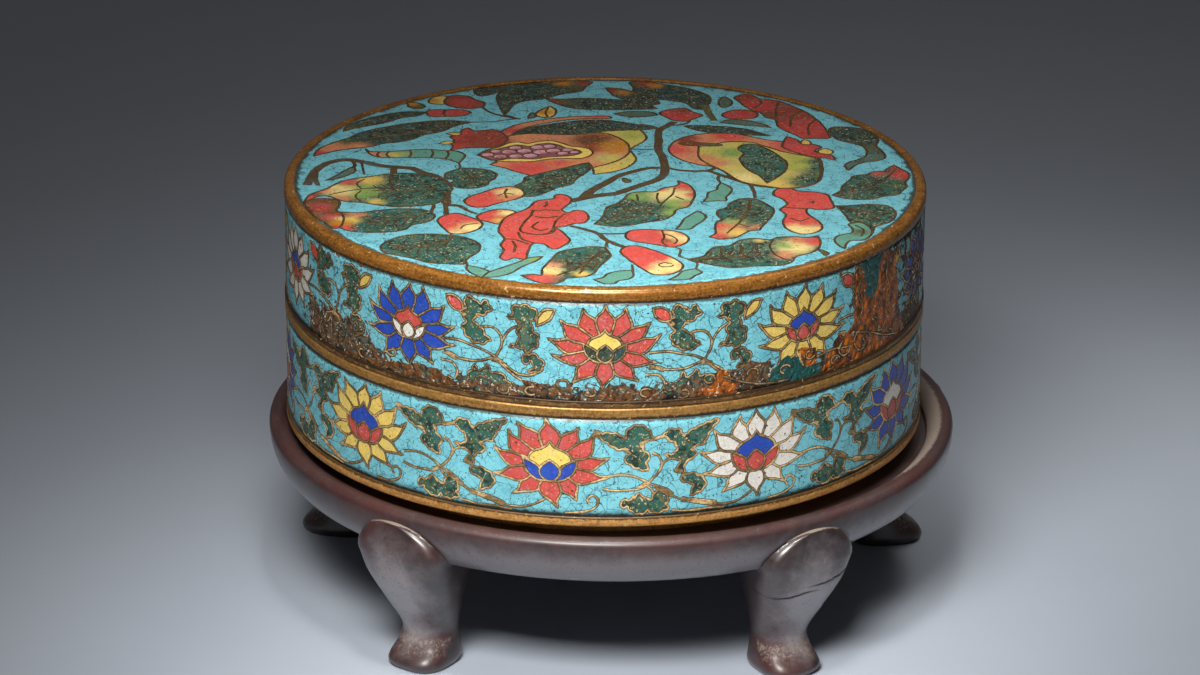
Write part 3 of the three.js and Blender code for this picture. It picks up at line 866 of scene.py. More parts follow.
    d.cell(shape((-3.2, 9, 1), (-2.9, 5.5), (-4, 2.5), (-5.5, -0.5), (-6.5, -3.5), (-9, -5.5), (-11, -8),
                 (-13, -10.3), (-15.5, -10.4), (-15.5, -7), (-17.1, -4.8), (-15.6, -2.5), (-15, 0.5),
                 (-13, 2), (-11, 3.5), (-8.5, 5.3), (-5.5, 7)), "green")
    # right pomegranate
    d.cell(shape((18.5, 7.9), (15.5, 10), (13.2, 13), (12.2, 16.5), (12.6, 19.5), (13.8, 22.5),
                 (15.7, 24.7), (18.5, 26.2), (22, 26.9), (25.5, 26.4), (28, 25.1), (31, 23.2), (34.6, 22),
                 (37, 20), (40, 15), (41.2, 12), (41.5, 8), (41.4, 4), (40.8, 0), (39, -3), (36.5, -4.6),
                 (33.5, -5.1), (30.5, -3.9), (28, -3), (25.6, -1.5), (24, 1), (22.8, 4), (21.5, 6),
                 (20, 7.4)),
           wash("peach", (13.5, 17, 4, "coral"), (15.5, 23.5, 4, "brick"), (36, 20, 6, "coral"),
                (24, 25.5, 5, "coral"), (22, 8, 3.5, "coral")))
    d.cell(shape((18.5, 20.4), (17.9, 16.5), (18, 12.6), (19.4, 9.2), (21.4, 6.4), (23, 4), (24.3, 1.2),
                 (25.9, -1.2), (28.2, -2.7), (30.6, -3.6), (33.5, -4.8), (36.4, -4.3), (38.8, -2.8),
                 (40.5, 0), (41.1, 4), (41.2, 8), (40.8, 12), (38.6, 13.8), (35.8, 15.2), (33.5, 16.8),
                 (30.5, 19.6), (28, 21.6), (24, 21.8), (21, 20.6)),
           wash("husk", (21.5, 9.5, 3.4, "peach"), (19.6, 13, 2.6, "peach"), (24.3, 15.5, 4, "leafGreen"),
                (20.5, 16, 2.4, "yellowGreen"), (26, 0.5, 4.5, "cream"), (32, -3.4, 4, "straw"),
                (41, 8, 7.5, "green"), (39.6, -1, 6.5, "green"), (36.6, 8, 4, "yellowGreen"),
                (37, 13.5, 3.5, "yellowGreen")))
    d.cell(shape((13.9, 20.6), (15.8, 22.2), (18.4, 21.4), (22.4, 20.5), (22.6, 19.2), (18.6, 18.9),
                 (15.2, 19.2)), wash("umber", (21, 19.8, 2.5, "olive")), wire=0)
    d.cell(shape((26.4, 20), (28.6, 20.5), (31.3, 17.6), (33.4, 13.6), (34.7, 10), (34.4, 5.5), (33, 2),
                 (30.7, -2, 1), (29.5, 1.8), (27.5, 5), (26.3, 8.5), (25.8, 12), (26.6, 15), (25.6, 17.6)),
           "green")
    d.cell(shape((34.4, 21.8), (35.2, 25.1, 1), (37, 23.4), (38, 21.1), (40.4, 20.5), (41.6, 18.9),
                 (40.4, 17.1), (41, 15.6), (43.5, 14.2), (44.1, 11.4, 1), (42, 12.8), (40.2, 13.2),
                 (38, 14.6), (36, 16.4), (34.2, 19)), wash("red", (37.5, 18, 3, "coral")))
    d.cell(shape((37.8, 20.9), (38.3, 23.2), (39.4, 22.6), (39.6, 20.6)), "straw", wire=0.2)
    d.cell(shape((40.9, 16.7), (42.4, 18.2), (43.9, 16.5), (43.1, 14.9), (41.4, 15.4)), "straw", wire=0.2)
    # red flower over the trunk
    d.cell(shape((10.9, 39.4), (13, 41.1), (15.5, 41.7), (17, 39.6), (19, 37.5), (17.5, 35.5), (15.6, 33.8),
                 (13.4, 34.2), (12, 35.9), (10.7, 38)), wash("red", (15, 40.5, 3, "brick")))
    # leaves of the left side
    d.cell(shape((-56.6, -15.8, 1), (-55.5, -10.5), (-52.5, -7), (-50, -3), (-48, -1.5), (-45, -0.2),
                 (-42, 1.2), (-39, 2), (-36, 1.8), (-33, 0.5), (-31, -1.5), (-29.4, -4.5), (-28.9, -7),
                 (-30, -9), (-30.3, -12), (-31.5, -14.8), (-35, -16.3), (-39, -17), (-42, -16.2),
                 (-45.5, -14.8), (-48.5, -14.3), (-50.5, -12.8), (-52.5, -11.1), (-54.6, -12.2)),
           wash("green", (-46.5, -8.5, 6.5, "leafGreen"), (-44.5, -2, 4, "straw"), (-50.5, -8, 5, "cream"),
                (-48.5, -3.4, 2.6, "coral"), (-53.5, -7.5, 2.6, "coral"), (-55.9, -13, 4, "coral"),
                (-49.5, -12.6, 2.8, "peach"), (-43, -14, 2.4, "straw")))
    d.line((-52, -10.5), (-48, -8), (-44, -6.6), (-39, -6), wire=0.22)
    d.line((-40.5, 1), (-40.8, -3), (-39.8, -8), wire=0.22)
    d.line((-46, -8), (-47, -11), (-46, -13.6), wire=0.2)
    d.line((-46, -7), (-47, -4), (-45.6, -1.4), wire=0.2)
    d.cell(shape((-49.6, -20.2), (-46, -20.3), (-42, -18.8), (-38, -17.9), (-34.4, -18.2), (-32.5, -19.6),
                 (-31.7, -22), (-33, -25), (-35.8, -27), (-37.2, -29.5), (-40.4, -30.8), (-44, -31),
                 (-47.5, -30.2), (-49.6, -27.5), (-50.2, -24)),
           wash("green", (-46.2, -21.4, 2.6, "peach"), (-47.5, -24.5, 3, "straw"),
                (-48.8, -26.6, 3, "amber"), (-48.2, -29, 2.4, "coral"), (-50, -22, 2.4, "coral")))
    d.cell(shape((-56.2, -14.6), (-54.6, -12.9), (-52, -12.7), (-50.2, -13.4), (-49.7, -16), (-50.1, -19),
                 (-49, -21.2), (-48.6, -24.5), (-49.2, -28.6), (-50.3, -29.2), (-52.3, -25.6),
                 (-54.6, -22.5), (-56, -19.5)),
           wash("olive", (-52.8, -14, 2.6, "umber"), (-53.6, -17.8, 4, "red"), (-53.9, -18.4, 1.8, "brick"),
                (-50.9, -22.8, 3, "red"), (-51.2, -20.4, 1.6, "umber"), (-48.9, -26, 3, "amber"),
                (-49.2, -23.6, 1.6, "cream"), (-49.8, -28.4, 1.8, "red")))
    d.cell(shape((-28.4, -32.1), (-33, -31.6), (-37, -32.7), (-40, -35.5), (-41.1, -38.5), (-40.3, -41.8),
                 (-37.5, -43.4), (-34.5, -45.1), (-32, -46.9), (-29, -47.4), (-25.7, -47.7, 1),
                 (-25, -44.5), (-23.2, -41), (-22.9, -37.5), (-24.4, -34.6), (-26.8, -32.7)), "green")
    d.line((-28.3, -32.4), (-28.8, -35.5), (-30.2, -38.6), wire=0.3)
    d.cell(shape((-25, -48.1, 1), (-22.6, -49.4), (-20.9, -51.6), (-22.3, -54.6, 1), (-24.3, -52),
                 (-25.1, -50)), "paleGreen")
    d.cell(shape((-22.2, -54.6, 1), (-21, -51.6), (-18.5, -49), (-16, -46.5), (-14, -44), (-11.3, -43, 1),
                 (-12.5, -45.5), (-15, -48.5), (-17, -52), (-19.5, -53.9)),
           wash("paleGreen", (-12, -44, 3, "leafGreen")))
    # buds, red with a yellow end
    d.cell(shape((-29.5, -21), (-27.5, -20.2), (-25, -22.4), (-23.2, -24.4), (-22.7, -26.8), (-24, -29.5),
                 (-26.5, -31.4), (-28.5, -31.1), (-29.8, -28.5), (-31.1, -25), (-30.8, -22.7)),
           wash("coral", (-24.3, -28, 4, "cream"), (-27.5, -31, 2.6, "cream")))
    d.line((-23.6, -25.6), (-26, -26.6), (-26.7, -28.6), wire=0.2)
    d.cell(shape((-26.4, -13.5), (-25.5, -11), (-23, -8.4), (-20.5, -6), (-18, -5.1), (-15.8, -6.7),
                 (-15.2, -9.3), (-16.2, -11.6), (-18.5, -13.4), (-20.8, -15.1), (-22.5, -16.6),
                 (-25, -16.4)),
           wash("coral", (-17, -8, 3.6, "cream"), (-18.6, -11.6, 3, "peach"), (-19.6, -8, 1.8, "cream")))
    d.line((-18.5, -6.4), (-18.9, -8.6), (-18.5, -11.4), wire=0.24)
    d.line((-20.2, -10.2), (-18.8, -8.9), (-17.2, -9.4), wire=0.2)
    d.cell(shape((-23.8, -21.6), (-22, -19), (-19.6, -17.7), (-17.4, -18.5), (-16.4, -20), (-18.3, -22.6),
                 (-19.5, -26), (-21.5, -24.9), (-23.3, -23.8)),
           wash("coral", (-18.2, -20, 2.6, "cream"), (-19.8, -24, 2, "straw")))
    # large red blossom
    d.cell(shape((-8, -9.2), (-6.5, -11), (-6.4, -13.5), (-7.4, -16), (-8, -18), (-7, -19.3), (-5.5, -18.1),
                 (-4, -18.4), (-3.2, -20.5), (-3.1, -23), (-4, -25), (-5.5, -25.3), (-7.5, -27),
                 (-9, -27.5), (-8, -29.5), (-7.1, -32), (-6.4, -34.5), (-7.4, -37), (-8.8, -39.1),
                 (-10, -38.6), (-11, -36.8), (-12.5, -36.2), (-13.5, -37), (-13.8, -39), (-14.2, -42),
                 (-14.5, -44.6), (-16.5, -44), (-18, -45.4), (-19.1, -44), (-18.5, -40), (-19.1, -37),
                 (-18.5, -34), (-19.6, -30), (-19.4, -26), (-18.6, -22.5), (-17, -20), (-15, -18),
                 (-13.8, -15.5), (-13, -13.2), (-10.8, -12.1), (-9.6, -11.5), (-9.4, -9.8)), "coral")
    d.lines(((-13.2, -18.6), (-11, -18), (-8.3, -18.4)),
            ((-13.4, -18), (-13.8, -21), (-15, -25), (-15.6, -29.5), (-14, -31), (-11.3, -31.3),
             (-9.6, -29)), ((-9.6, -28.6), (-9.2, -24.6), (-8.4, -22), (-7.4, -20)),
            ((-13, -21.6), (-11, -22.2), (-8.8, -21.4)), ((-11.1, -13.4), (-10.9, -14.8), (-11.4, -16.2)),
            ((-18.4, -33.8), (-16.4, -34.4), (-14, -36.6)), ((-16, -30.4), (-15.2, -34), (-13, -36)),
            ((-11.4, -31.4), (-9.9, -30.6), (-9, -27.8)), ((-17, -35), (-16.4, -37.5), (-16.6, -41)),
            ((-12.4, -24.6), (-13.4, -27.4), (-12, -29.2), (-10.6, -28.4)), wire=0.26)
    # leaves and buds of the front
    d.cell(shape((13.8, -0.9, 1), (15.5, -2.8), (16.6, -5.5), (16.9, -9), (16.5, -12), (15.5, -15.5),
                 (13.3, -17.5), (12.8, -20), (11, -22.8), (8, -24.2), (5, -25.8), (2, -26.8),
                 (-2, -25.6, 1), (-0.5, -22), (0, -19), (0.5, -16), (2.5, -13.8), (3.5, -11.5), (4.5, -8.6),
                 (6.5, -7.4), (9.5, -7.3), (11, -5.3), (13.3, -4), (14, -2.8)),
           wash("green", (12.5, -9, 6.5, "cream"), (6.5, -10, 3.6, "leafGreen"),
                (13.5, -14, 4, "leafGreen"), (12.6, -19, 3, "leafGreen"), (15.2, -4, 3.6, "coral"),
                (16.6, -9, 2, "coral"), (10.4, -5.8, 2, "coral"), (15.6, -14.4, 2, "peach")))
    d.lines(((9.9, -8), (9.8, -11), (10.2, -14)), ((13.2, -5), (12.6, -9), (11, -13), (9.9, -17)),
            ((6, -9), (6.2, -12.4)), ((9.9, -17), (6, -21), (1, -24.6)), ((13.3, -10), (14.8, -11.6)),
            wire=0.22)
    d.cell(shape((27, -10.4, 1), (28.8, -11.5), (30.5, -14), (31.6, -17), (31.1, -20.5), (30, -24),
                 (29, -26.8), (28.7, -28), (26.8, -28.6), (25.5, -30.5), (23.8, -32.5), (21.5, -33.1),
                 (19.3, -32.1, 1), (20.5, -30), (20.5, -27), (20.8, -24), (21.8, -22.3), (21, -20),
                 (21.2, -17.5), (22.8, -15.8), (23.5, -13.5), (25, -11.3)),
           wash("green", (24, -24, 3.4, "leafGreen"), (23, -28, 5.5, "peach"), (24.6, -29.6, 3, "straw"),
                (28, -26.6, 2.2, "peach"), (20.8, -31.8, 2.8, "coral"), (21, -26, 2, "coral")))
    d.line((27.4, -11.4), (27, -17), (25.4, -23), (22.6, -30), wire=0.22)
    d.line((24.8, -24.6), (26.8, -26.4), wire=0.2)
    d.cell(shape((15.2, -43.9, 1), (18, -42.4), (19, -40), (20.2, -37.4), (23, -36.5), (25, -33.6),
                 (27.5, -32.6), (29.5, -33), (30.8, -33.1), (32, -31.8), (35, -31.5), (37.5, -31.8),
                 (39.4, -30.8, 1), (39.8, -34), (39.4, -37.5), (38, -39.9), (36, -41.4), (34.8, -42.6),
                 (34.4, -44.6), (32.8, -46.5), (30, -47.1), (27, -47.4), (24, -48.3), (21, -47.6),
                 (18, -46), (16, -45)),
           wash("green", (35, -37, 5.5, "cream"), (33, -36.2, 2.2, "leafGreen"), (33, -41.5, 3, "peach"),
                (36, -33, 3, "peach"), (39, -34, 3.4, "coral"), (28.5, -33.8, 2, "straw")))
    d.lines(((31, -33.2), (30.4, -37), (31.2, -41), (33, -43.6)), ((21.6, -37.4), (21.4, -41), (22.2, -45)),
            ((25, -36), (25.2, -40), (26, -44.5)), ((28, -35), (28, -39), (29, -43.5)),
            ((15.5, -44), (22, -43), (30, -41.4)), wire=0.22)
    d.cell(shape((39.2, -38.2), (40.4, -38.8), (41.2, -40.6), (40.4, -41.6), (39.8, -39.8)), "olive",
           wire=0.15)
    d.cell(shape((-3, -37.8), (-0.3, -38), (0.6, -40), (1.1, -42.5), (0.2, -45.3), (-1.2, -49), (-2, -52),
                 (-3.5, -53.5), (-5.5, -54), (-7, -54.5), (-7.5, -56), (-9, -57.3), (-11.5, -56.9),
                 (-13.5, -55.2), (-15.1, -53.2, 1), (-13, -52.5), (-11.5, -53), (-11.3, -50), (-10.5, -47),
                 (-9.5, -44), (-8.5, -41), (-6.5, -39.2)),
           wash("green", (-9.6, -47.5, 3, "peach"), (-10, -51, 3.6, "cream"), (-9.2, -53.2, 2, "amber"),
                (-12, -55, 4.4, "coral"), (-4, -52, 2.4, "straw")))
    d.lines(((0, -40), (-2, -44), (-4, -48), (-8.6, -53)), ((-4.6, -46), (-4, -50), (-4.6, -52)),
            ((-1.4, -44), (-1.4, -47), (-2.4, -50)), ((-7, -44), (-6.6, -47), (-6.4, -50)), wire=0.22)
    d.cell(shape((5, -50, 1), (5.3, -52.5), (4.5, -54.5), (2.5, -55.6), (1.8, -57), (0, -57.1),
                 (-1.9, -55, 1), (-0.2, -53.8), (0.5, -52), (2.5, -50.5)), "paleGreen")
    d.cell(shape((16.6, -48.8, 1), (17.7, -50.8), (16.5, -52.5), (15.5, -54.3), (13.8, -54.8),
                 (11.6, -54.9, 1), (13.3, -52.5), (14, -50.5), (15.3, -49.5)), "paleGreen")
    d.cell(shape((17.3, -17.8, 1), (18.8, -20.5), (18.4, -23), (17, -25.5), (15.8, -27.8), (13.1, -28.1, 1),
                 (14, -25.5), (14.7, -22.5), (16, -20)), "paleGreen")
    d.cell(shape((22, -1.9, 1), (23.9, -5), (23.6, -8), (22.8, -10), (22.8, -12), (21, -12.2),
                 (18.5, -12.7, 1), (19.2, -10), (19.5, -7.5), (21, -6), (21.3, -4)), "paleGreen")
    d.cell(shape((3.9, -31.5), (4.5, -29.2), (7, -28.2), (10, -28.4), (13, -29), (15, -31), (15.5, -33.5),
                 (14.5, -36), (12.5, -37.6), (10, -36.6), (7, -35.3), (5, -34.4), (4, -33)),
           wash("coral", (14, -33, 3.4, "cream"), (12.2, -29.8, 2, "cream"), (12.2, -34.2, 1.6, "umber")))
    d.line((10.6, -28.8), (11, -32), (10.6, -35), (11.6, -37), wire=0.22)
    d.line((11.2, -30.6), (12.6, -32), (13.4, -34), (12.8, -35.8), wire=0.2)
    d.cell(shape((2.9, -40), (4, -37.5), (6, -37.1), (8.5, -38.9), (11, -41.4), (13, -44), (14.3, -47),
                 (13.7, -50), (11.5, -52.1), (9, -52.1), (7.3, -49.9), (5.5, -46.6), (4, -43.5)),
           wash("coral", (11.4, -48.4, 4.4, "cream"), (9, -51, 2.4, "cream"), (13, -45, 2.4, "cream")))
    turn = np.linspace(0.6, 2 * math.pi, 12)
    d.line(*zip(11.2 + 1.3 * np.cos(turn), -47 + 1.1 * np.sin(turn)), wire=0.2)
    # calyx flower on the right, and the leaves beside it
    d.cell(shape((31.9, -6.6), (33, -4.9), (35, -4.9), (36.5, -6.2), (40, -6.9), (42, -8.4), (42.4, -11),
                 (42.9, -14), (42.6, -15.9), (40, -16.6), (38, -16), (37.8, -18.5), (38.8, -21),
                 (40, -23.5), (40.4, -26.5), (39.3, -28.9), (37, -30.1), (35, -29.1), (33.5, -26.5),
                 (33.2, -23), (33.8, -19.5), (32.8, -17), (33.5, -15.3), (34.2, -13.5), (33.5, -11),
                 (31.9, -9)),
           wash("coral", (37, -28.4, 4, "cream"), (34.8, -26.4, 2.2, "cream"), (39.2, -26.6, 2, "cream")))
    d.line((33.5, -15.3), (35.8, -15.9), (38, -16.1))
    d.line((34.6, -21.4), (36.4, -22.8), (38.2, -21.2), wire=0.22)
    d.line((38.5, -12.6), (39.3, -11.8), (39, -13.2), wire=0.2)
    d.cell(shape((42.8, -8.5, 1), (44.5, -6), (45, -3), (46.5, 0), (47.3, 2.5), (50, 3.6), (51, 5),
                 (53, 5.4), (54.3, 7.6), (55.2, 9, 1), (56.6, 6.5), (57.9, 4), (57.6, 1), (56.9, -1),
                 (57.1, -3.5), (56, -6), (55, -8), (52.5, -9), (50.5, -10.4), (47.5, -10.9), (44.8, -10)),
           wash("green", (56.6, 3.5, 4, "red"), (55, 7.4, 2.6, "brick"), (52, 4, 2, "coral"),
                (55.6, -2.4, 2.4, "mossGreen"), (54.6, -6.6, 2, "mossGreen")))
    d.line((43, -8.4), (48, -4), (53, 1), (55.4, 6), wire=0.22)
    d.cell(shape((43.2, -14.4, 1), (46, -14.2), (49.5, -13.4), (52.8, -14.1), (54.3, -17), (54.1, -20.5),
                 (52.8, -23.5), (50.3, -25.6), (49.6, -29.6, 1), (48.2, -24.5), (46, -23.8), (45, -20),
                 (44.2, -17)), "green")
    d.line((43.4, -14.6), (47.5, -16.4), (51, -19), wire=0.22)
    d.cell(shape((45.4, -24.4), (47.5, -23.4), (49, -25.5), (49.6, -28.5), (49, -31), (47.8, -33),
                 (45.5, -33.3), (44.6, -35), (44.2, -37.7, 1), (43, -35.8), (42.4, -33.3), (43, -31),
                 (44.5, -29.8), (45.8, -29), (46, -27)), wash("paleGreen", (47.4, -28.5, 2.4, "olive")))
    d.line((46.6, -25), (48, -27.6), (47.4, -31), wire=0.22)
    for vein in [((-27.5, -33.5), (-38.5, -40), 1.2, 5, 5), ((-33.2, -20.8), (-45, -26), 0.8, 5, 4.5),
                 ((-31, -6), (-44, -8), 1, 5, 5.5), ((-27.3, 4.2), (-24.4, -5), 0.5, 4, 3.4),
                 ((-4.4, 6.2), (-14.4, -9), 0.6, 6, 3.6), ((-0.4, -24.4), (8, -13), 0.5, 6, 4.2),
                 ((-0.6, -39.4), (-6.5, -51), 0.5, 4, 3), ((16.8, -44), (29.5, -39.8), 0.6, 5, 4),
                 ((27.2, -11.6), (25, -24), 0.4, 5, 3.4), ((44, -8.8), (53.5, 0.5), -0.5, 6, 3.6),
                 ((44.2, -15.2), (51.4, -22), 0.4, 4, 3.2), ((-28, 31.6), (-48, 21), 0.8, 6, 2.6)]:
        d.veins(*vein, wire=0.17)
    return d


topEdge = boxRadius - metal["rimWidth"] - metal["inset"]
topHeight = lidTop - metal["inset"]


def onTop(points, lift):
    points = np.asarray(points)
    height = np.broadcast_to(topHeight + np.asarray(lift), len(points))
    return np.column_stack([points + boxAxis, height])


def gridOver(wide, tall, gap):
    rows = []
    for k, y in enumerate(np.arange(-tall, tall, gap * 0.866)):
        x = np.arange(-wide, wide, gap) + (k % 2) * gap / 2
        rows.append(np.column_stack([x, np.full(len(x), y)]))
    return np.concatenate(rows)


spray = lidSpray()
topTurns = rounds(360)
topBorder = topEdge * np.column_stack([np.cos(topTurns), np.sin(topTurns)])
topGrid = gridOver(topEdge, topEdge, lidField["grid"])
topGrid = topGrid[np.hypot(*topGrid.T) < topEdge - lidField["margin"]]
enamelSkins = [groundEnamel, colourEnamel, oldFill]
lidTopEnamel = enamelPiece("lid_top_enamel", spray, topBorder, topGrid, onTop,
                           lambda co: co - Vector((0, 0, lidField["backDepth"] * mm)), enamelSkins,
                           lambda p: topEdge - np.hypot(p[:, 0], p[:, 1]))
settle(lidTopEnamel, "lid")
lidTopWires = wirePiece("lid_top_wires", spray, onTop, [topWireGilt, grime])
settle(lidTopWires, "lid")


# Walls: lotus scrolls, in millimetres along the wall from the front and above the band's middle
wallField = {"backDepth": 0.4, "grid": 1.7, "margin": 0.5, "overlap": 1.0, "seamTurn": 18,
             "steps": (381, 14)}
lidBand = {
    "ends": lidWall, "wire": 0.28, "dirt": 0.15, "lobes": (0.45, 1.9),
    "flower": (9.6, 7.5), "centre": 0.82, "rise": 0.9,
    "flowers": [(-72.3, "white", "cobalt", "red"), (-36.1, "cobalt", "salmon", "white"),
                (0.2, "salmon", "yellow", "darkGreen"), (36.9, "yellow", "cobalt", "salmon"),
                (75, "cobalt", "salmon", "white"), (111, "white", "cobalt", "salmon"),
                (147, "salmon", "yellow", "green"), (183, "yellow", "cobalt", "salmon"),
                (219, "cobalt", "salmon", "white"), (253, "salmon", "yellow", "green")],
    # how far the enamel is lost, by degrees from the front and heights above the middle
    "loss": {"all": 0.14, "edges": [(-4.8, -8.8, 0.46), (8, 9.6, 0.12)], "edgeTurns": (-68, -56, 72, 84),
             "turns": [(40, 50, 76, 84, 0.12), (-80, -72, -48, -40, 0.1), (60, 66, 76, 84, 0.12)],
             "spots": [(26, -8, 18, 5, 0.2), (-55, -6, 15, 6, 0.3)]},
}
boxBand = {
    "ends": boxWall, "wire": 0.34, "dirt": 0.11, "lobes": (0.3, 1.6),
    "flower": (10.4, 7.8), "centre": 0.97, "rise": 0.7,
    "flowers": [(-83, "cobalt", "white", "salmon"), (-46.9, "yellow", "cobalt", "salmon"),
                (-9.2, "salmon", "yellow", "cobalt"), (27.5, "white", "cobalt", "salmon"),
                (63.3, "cobalt", "white", "salmon"), (99, "yellow", "cobalt", "salmon"),
                (135, "salmon", "yellow", "cobalt"), (171, "white", "cobalt", "salmon"),
                (207, "yellow", "cobalt", "salmon"), (242, "salmon", "yellow", "cobalt")],
    "loss": {"all": 0.06, "edges": [(-4, -9, 0.05)], "edgeTurns": (-361, -360, 360, 361),
             "turns": [(-95, -80, -50, -35, 0.1), (55, 70, 85, 100, 0.05)], "spots": []},
}
wallRadius = boxRadius - metal["inset"]
wallLength = 2 * math.pi * wallRadius

# what grows between two flowers, measured from the middle of the gap
boxScroll = {
    "leaves": [
        ((-11.4, 7.1, 1), (-9.8, 6.9), (-7.6, 6.8), (-5.8, 6.0, 1), (-5.1, 7.5), (-3.8, 8.3), (-2.4, 8.1),
         (-1.3, 7.1), (-0.5, 5.5, 1), (-2.2, 5.3), (-2.7, 4.5), (-2.3, 3.4), (-1.1, 2.3, 1), (-1.8, 1.1),
         (-1.5, -0.5, 1), (-3.2, -0.1), (-4.6, 0.6), (-5.8, 1.7, 1), (-4.8, 2.9), (-5.7, 3.7), (-7, 3.9),
         (-8.6, 4.8), (-10.2, 6)),
        ((12, 8.4, 1), (10.7, 7.1), (9.6, 5.3), (9.1, 4, 1), (7.3, 3.7), (6.8, 3.1), (7.7, 1.9, 1),
         (6.5, 1.3), (5.4, 0.4), (5.2, -1.3, 1), (3.5, -0.8, 1), (4.5, 0.2), (4.6, 1.2), (3.2, 1.6),
         (1.6, 2.3, 1), (3.5, 2.5), (4, 3.4), (3.7, 4.5), (2.2, 5.5), (1.5, 6.4, 1), (2.6, 7.2), (4.3, 7),
         (5.2, 5.9, 1), (6.5, 6.7), (7.9, 7.3), (9.7, 8)),
        ((4.7, -2.2), (5.7, -1.8), (7.5, -1.9), (9, -2.9), (9.4, -4.3), (8.3, -5.4), (6.5, -6, 1),
         (7, -4.9), (7.1, -3.9), (6.4, -3.4), (5.4, -3.2)),
        ((-6.4, -6.9), (-5.5, -6.3), (-4.6, -6.4), (-3.9, -5.8, 1), (-3.2, -5.2), (-2.2, -5.8, 1),
         (-1.4, -6.3), (-0.5, -6.1), (-0.3, -5.2), (0.7, -4.7), (1.8, -5.3), (2.3, -6.3), (1.9, -7.3, 1),
         (2.3, -8.1), (1.2, -8.7), (-0.5, -8.9), (-1.4, -8.3, 1), (-2.6, -9.1), (-3.9, -8.7), (-4.6, -8.3),
         (-5, -7.5, 1), (-5.9, -7.7)),
    ],
    "vines": [
        ((-9.6, -1.8), (-6.9, -1.3), (-4.6, -1.5), (-2.6, -2.3), (-1.3, -3), (0.5, -3.9), (3.2, -5.8),
         (5.9, -7), (9.1, -7.9), (11.9, -8.4), (14.9, -8.4), (17, -7.7), (19.2, -6.4)),
        ((-9.8, -4), (-7.7, -4.4), (-5.3, -4.3), (-3.2, -4.2), (-1.3, -3.2)),
        ((-1.2, -2.8), (0.4, -1.2), (1.1, 0.7), (0.5, 2.3), (-0.7, 2.9)),
        ((0.9, 0.1), (1.8, 1.2), (3.2, 1.7)),
        ((-1.5, -3.5), (-0.5, -4.7), (-0.3, -5.7)),
        ((-16.5, -8.9), (-13, -8.6), (-10.9, -7.6), (-10.5, -6.2), (-11.6, -5.4), (-12.6, -6.2),
         (-12.1, -7)),
        ((3, -8.6), (6, -9), (9.5, -8.9), (13, -9.1)),
    ],
    "knots": [((-0.4, -3.6), (3.2, -5.7), 0.9), ((4.8, -6.6), (11.6, -8.3), 0.85),
              ((-3, -3.9), (-1.2, -3.1), 0.7)],
    "webs": [((-11.5, 7.1), (-10.2, 6.9), 0.8), ((-6, 6.3), (-5.4, 5.9), 0.6),
             ((-2.8, 5.1), (-2.5, 4.1), 0.75), ((-5.9, 3.8), (-5, 3.4), 0.7),
             ((-0.7, 5.5), (1.4, 6.1), 0.6), ((5, 6.2), (5.5, 5.8), 0.6), ((3.4, -0.7), (5, -1.2), 0.8),
             ((6.6, 3.3), (7.1, 2.9), 0.7), ((-4.2, -5.4), (-3.8, -6), 0.55),
             ((-2.4, -5.7), (-1.9, -6), 0.5), ((1.7, -7.3), (2.3, -7.4), 0.5)],
    "buds": [],
}
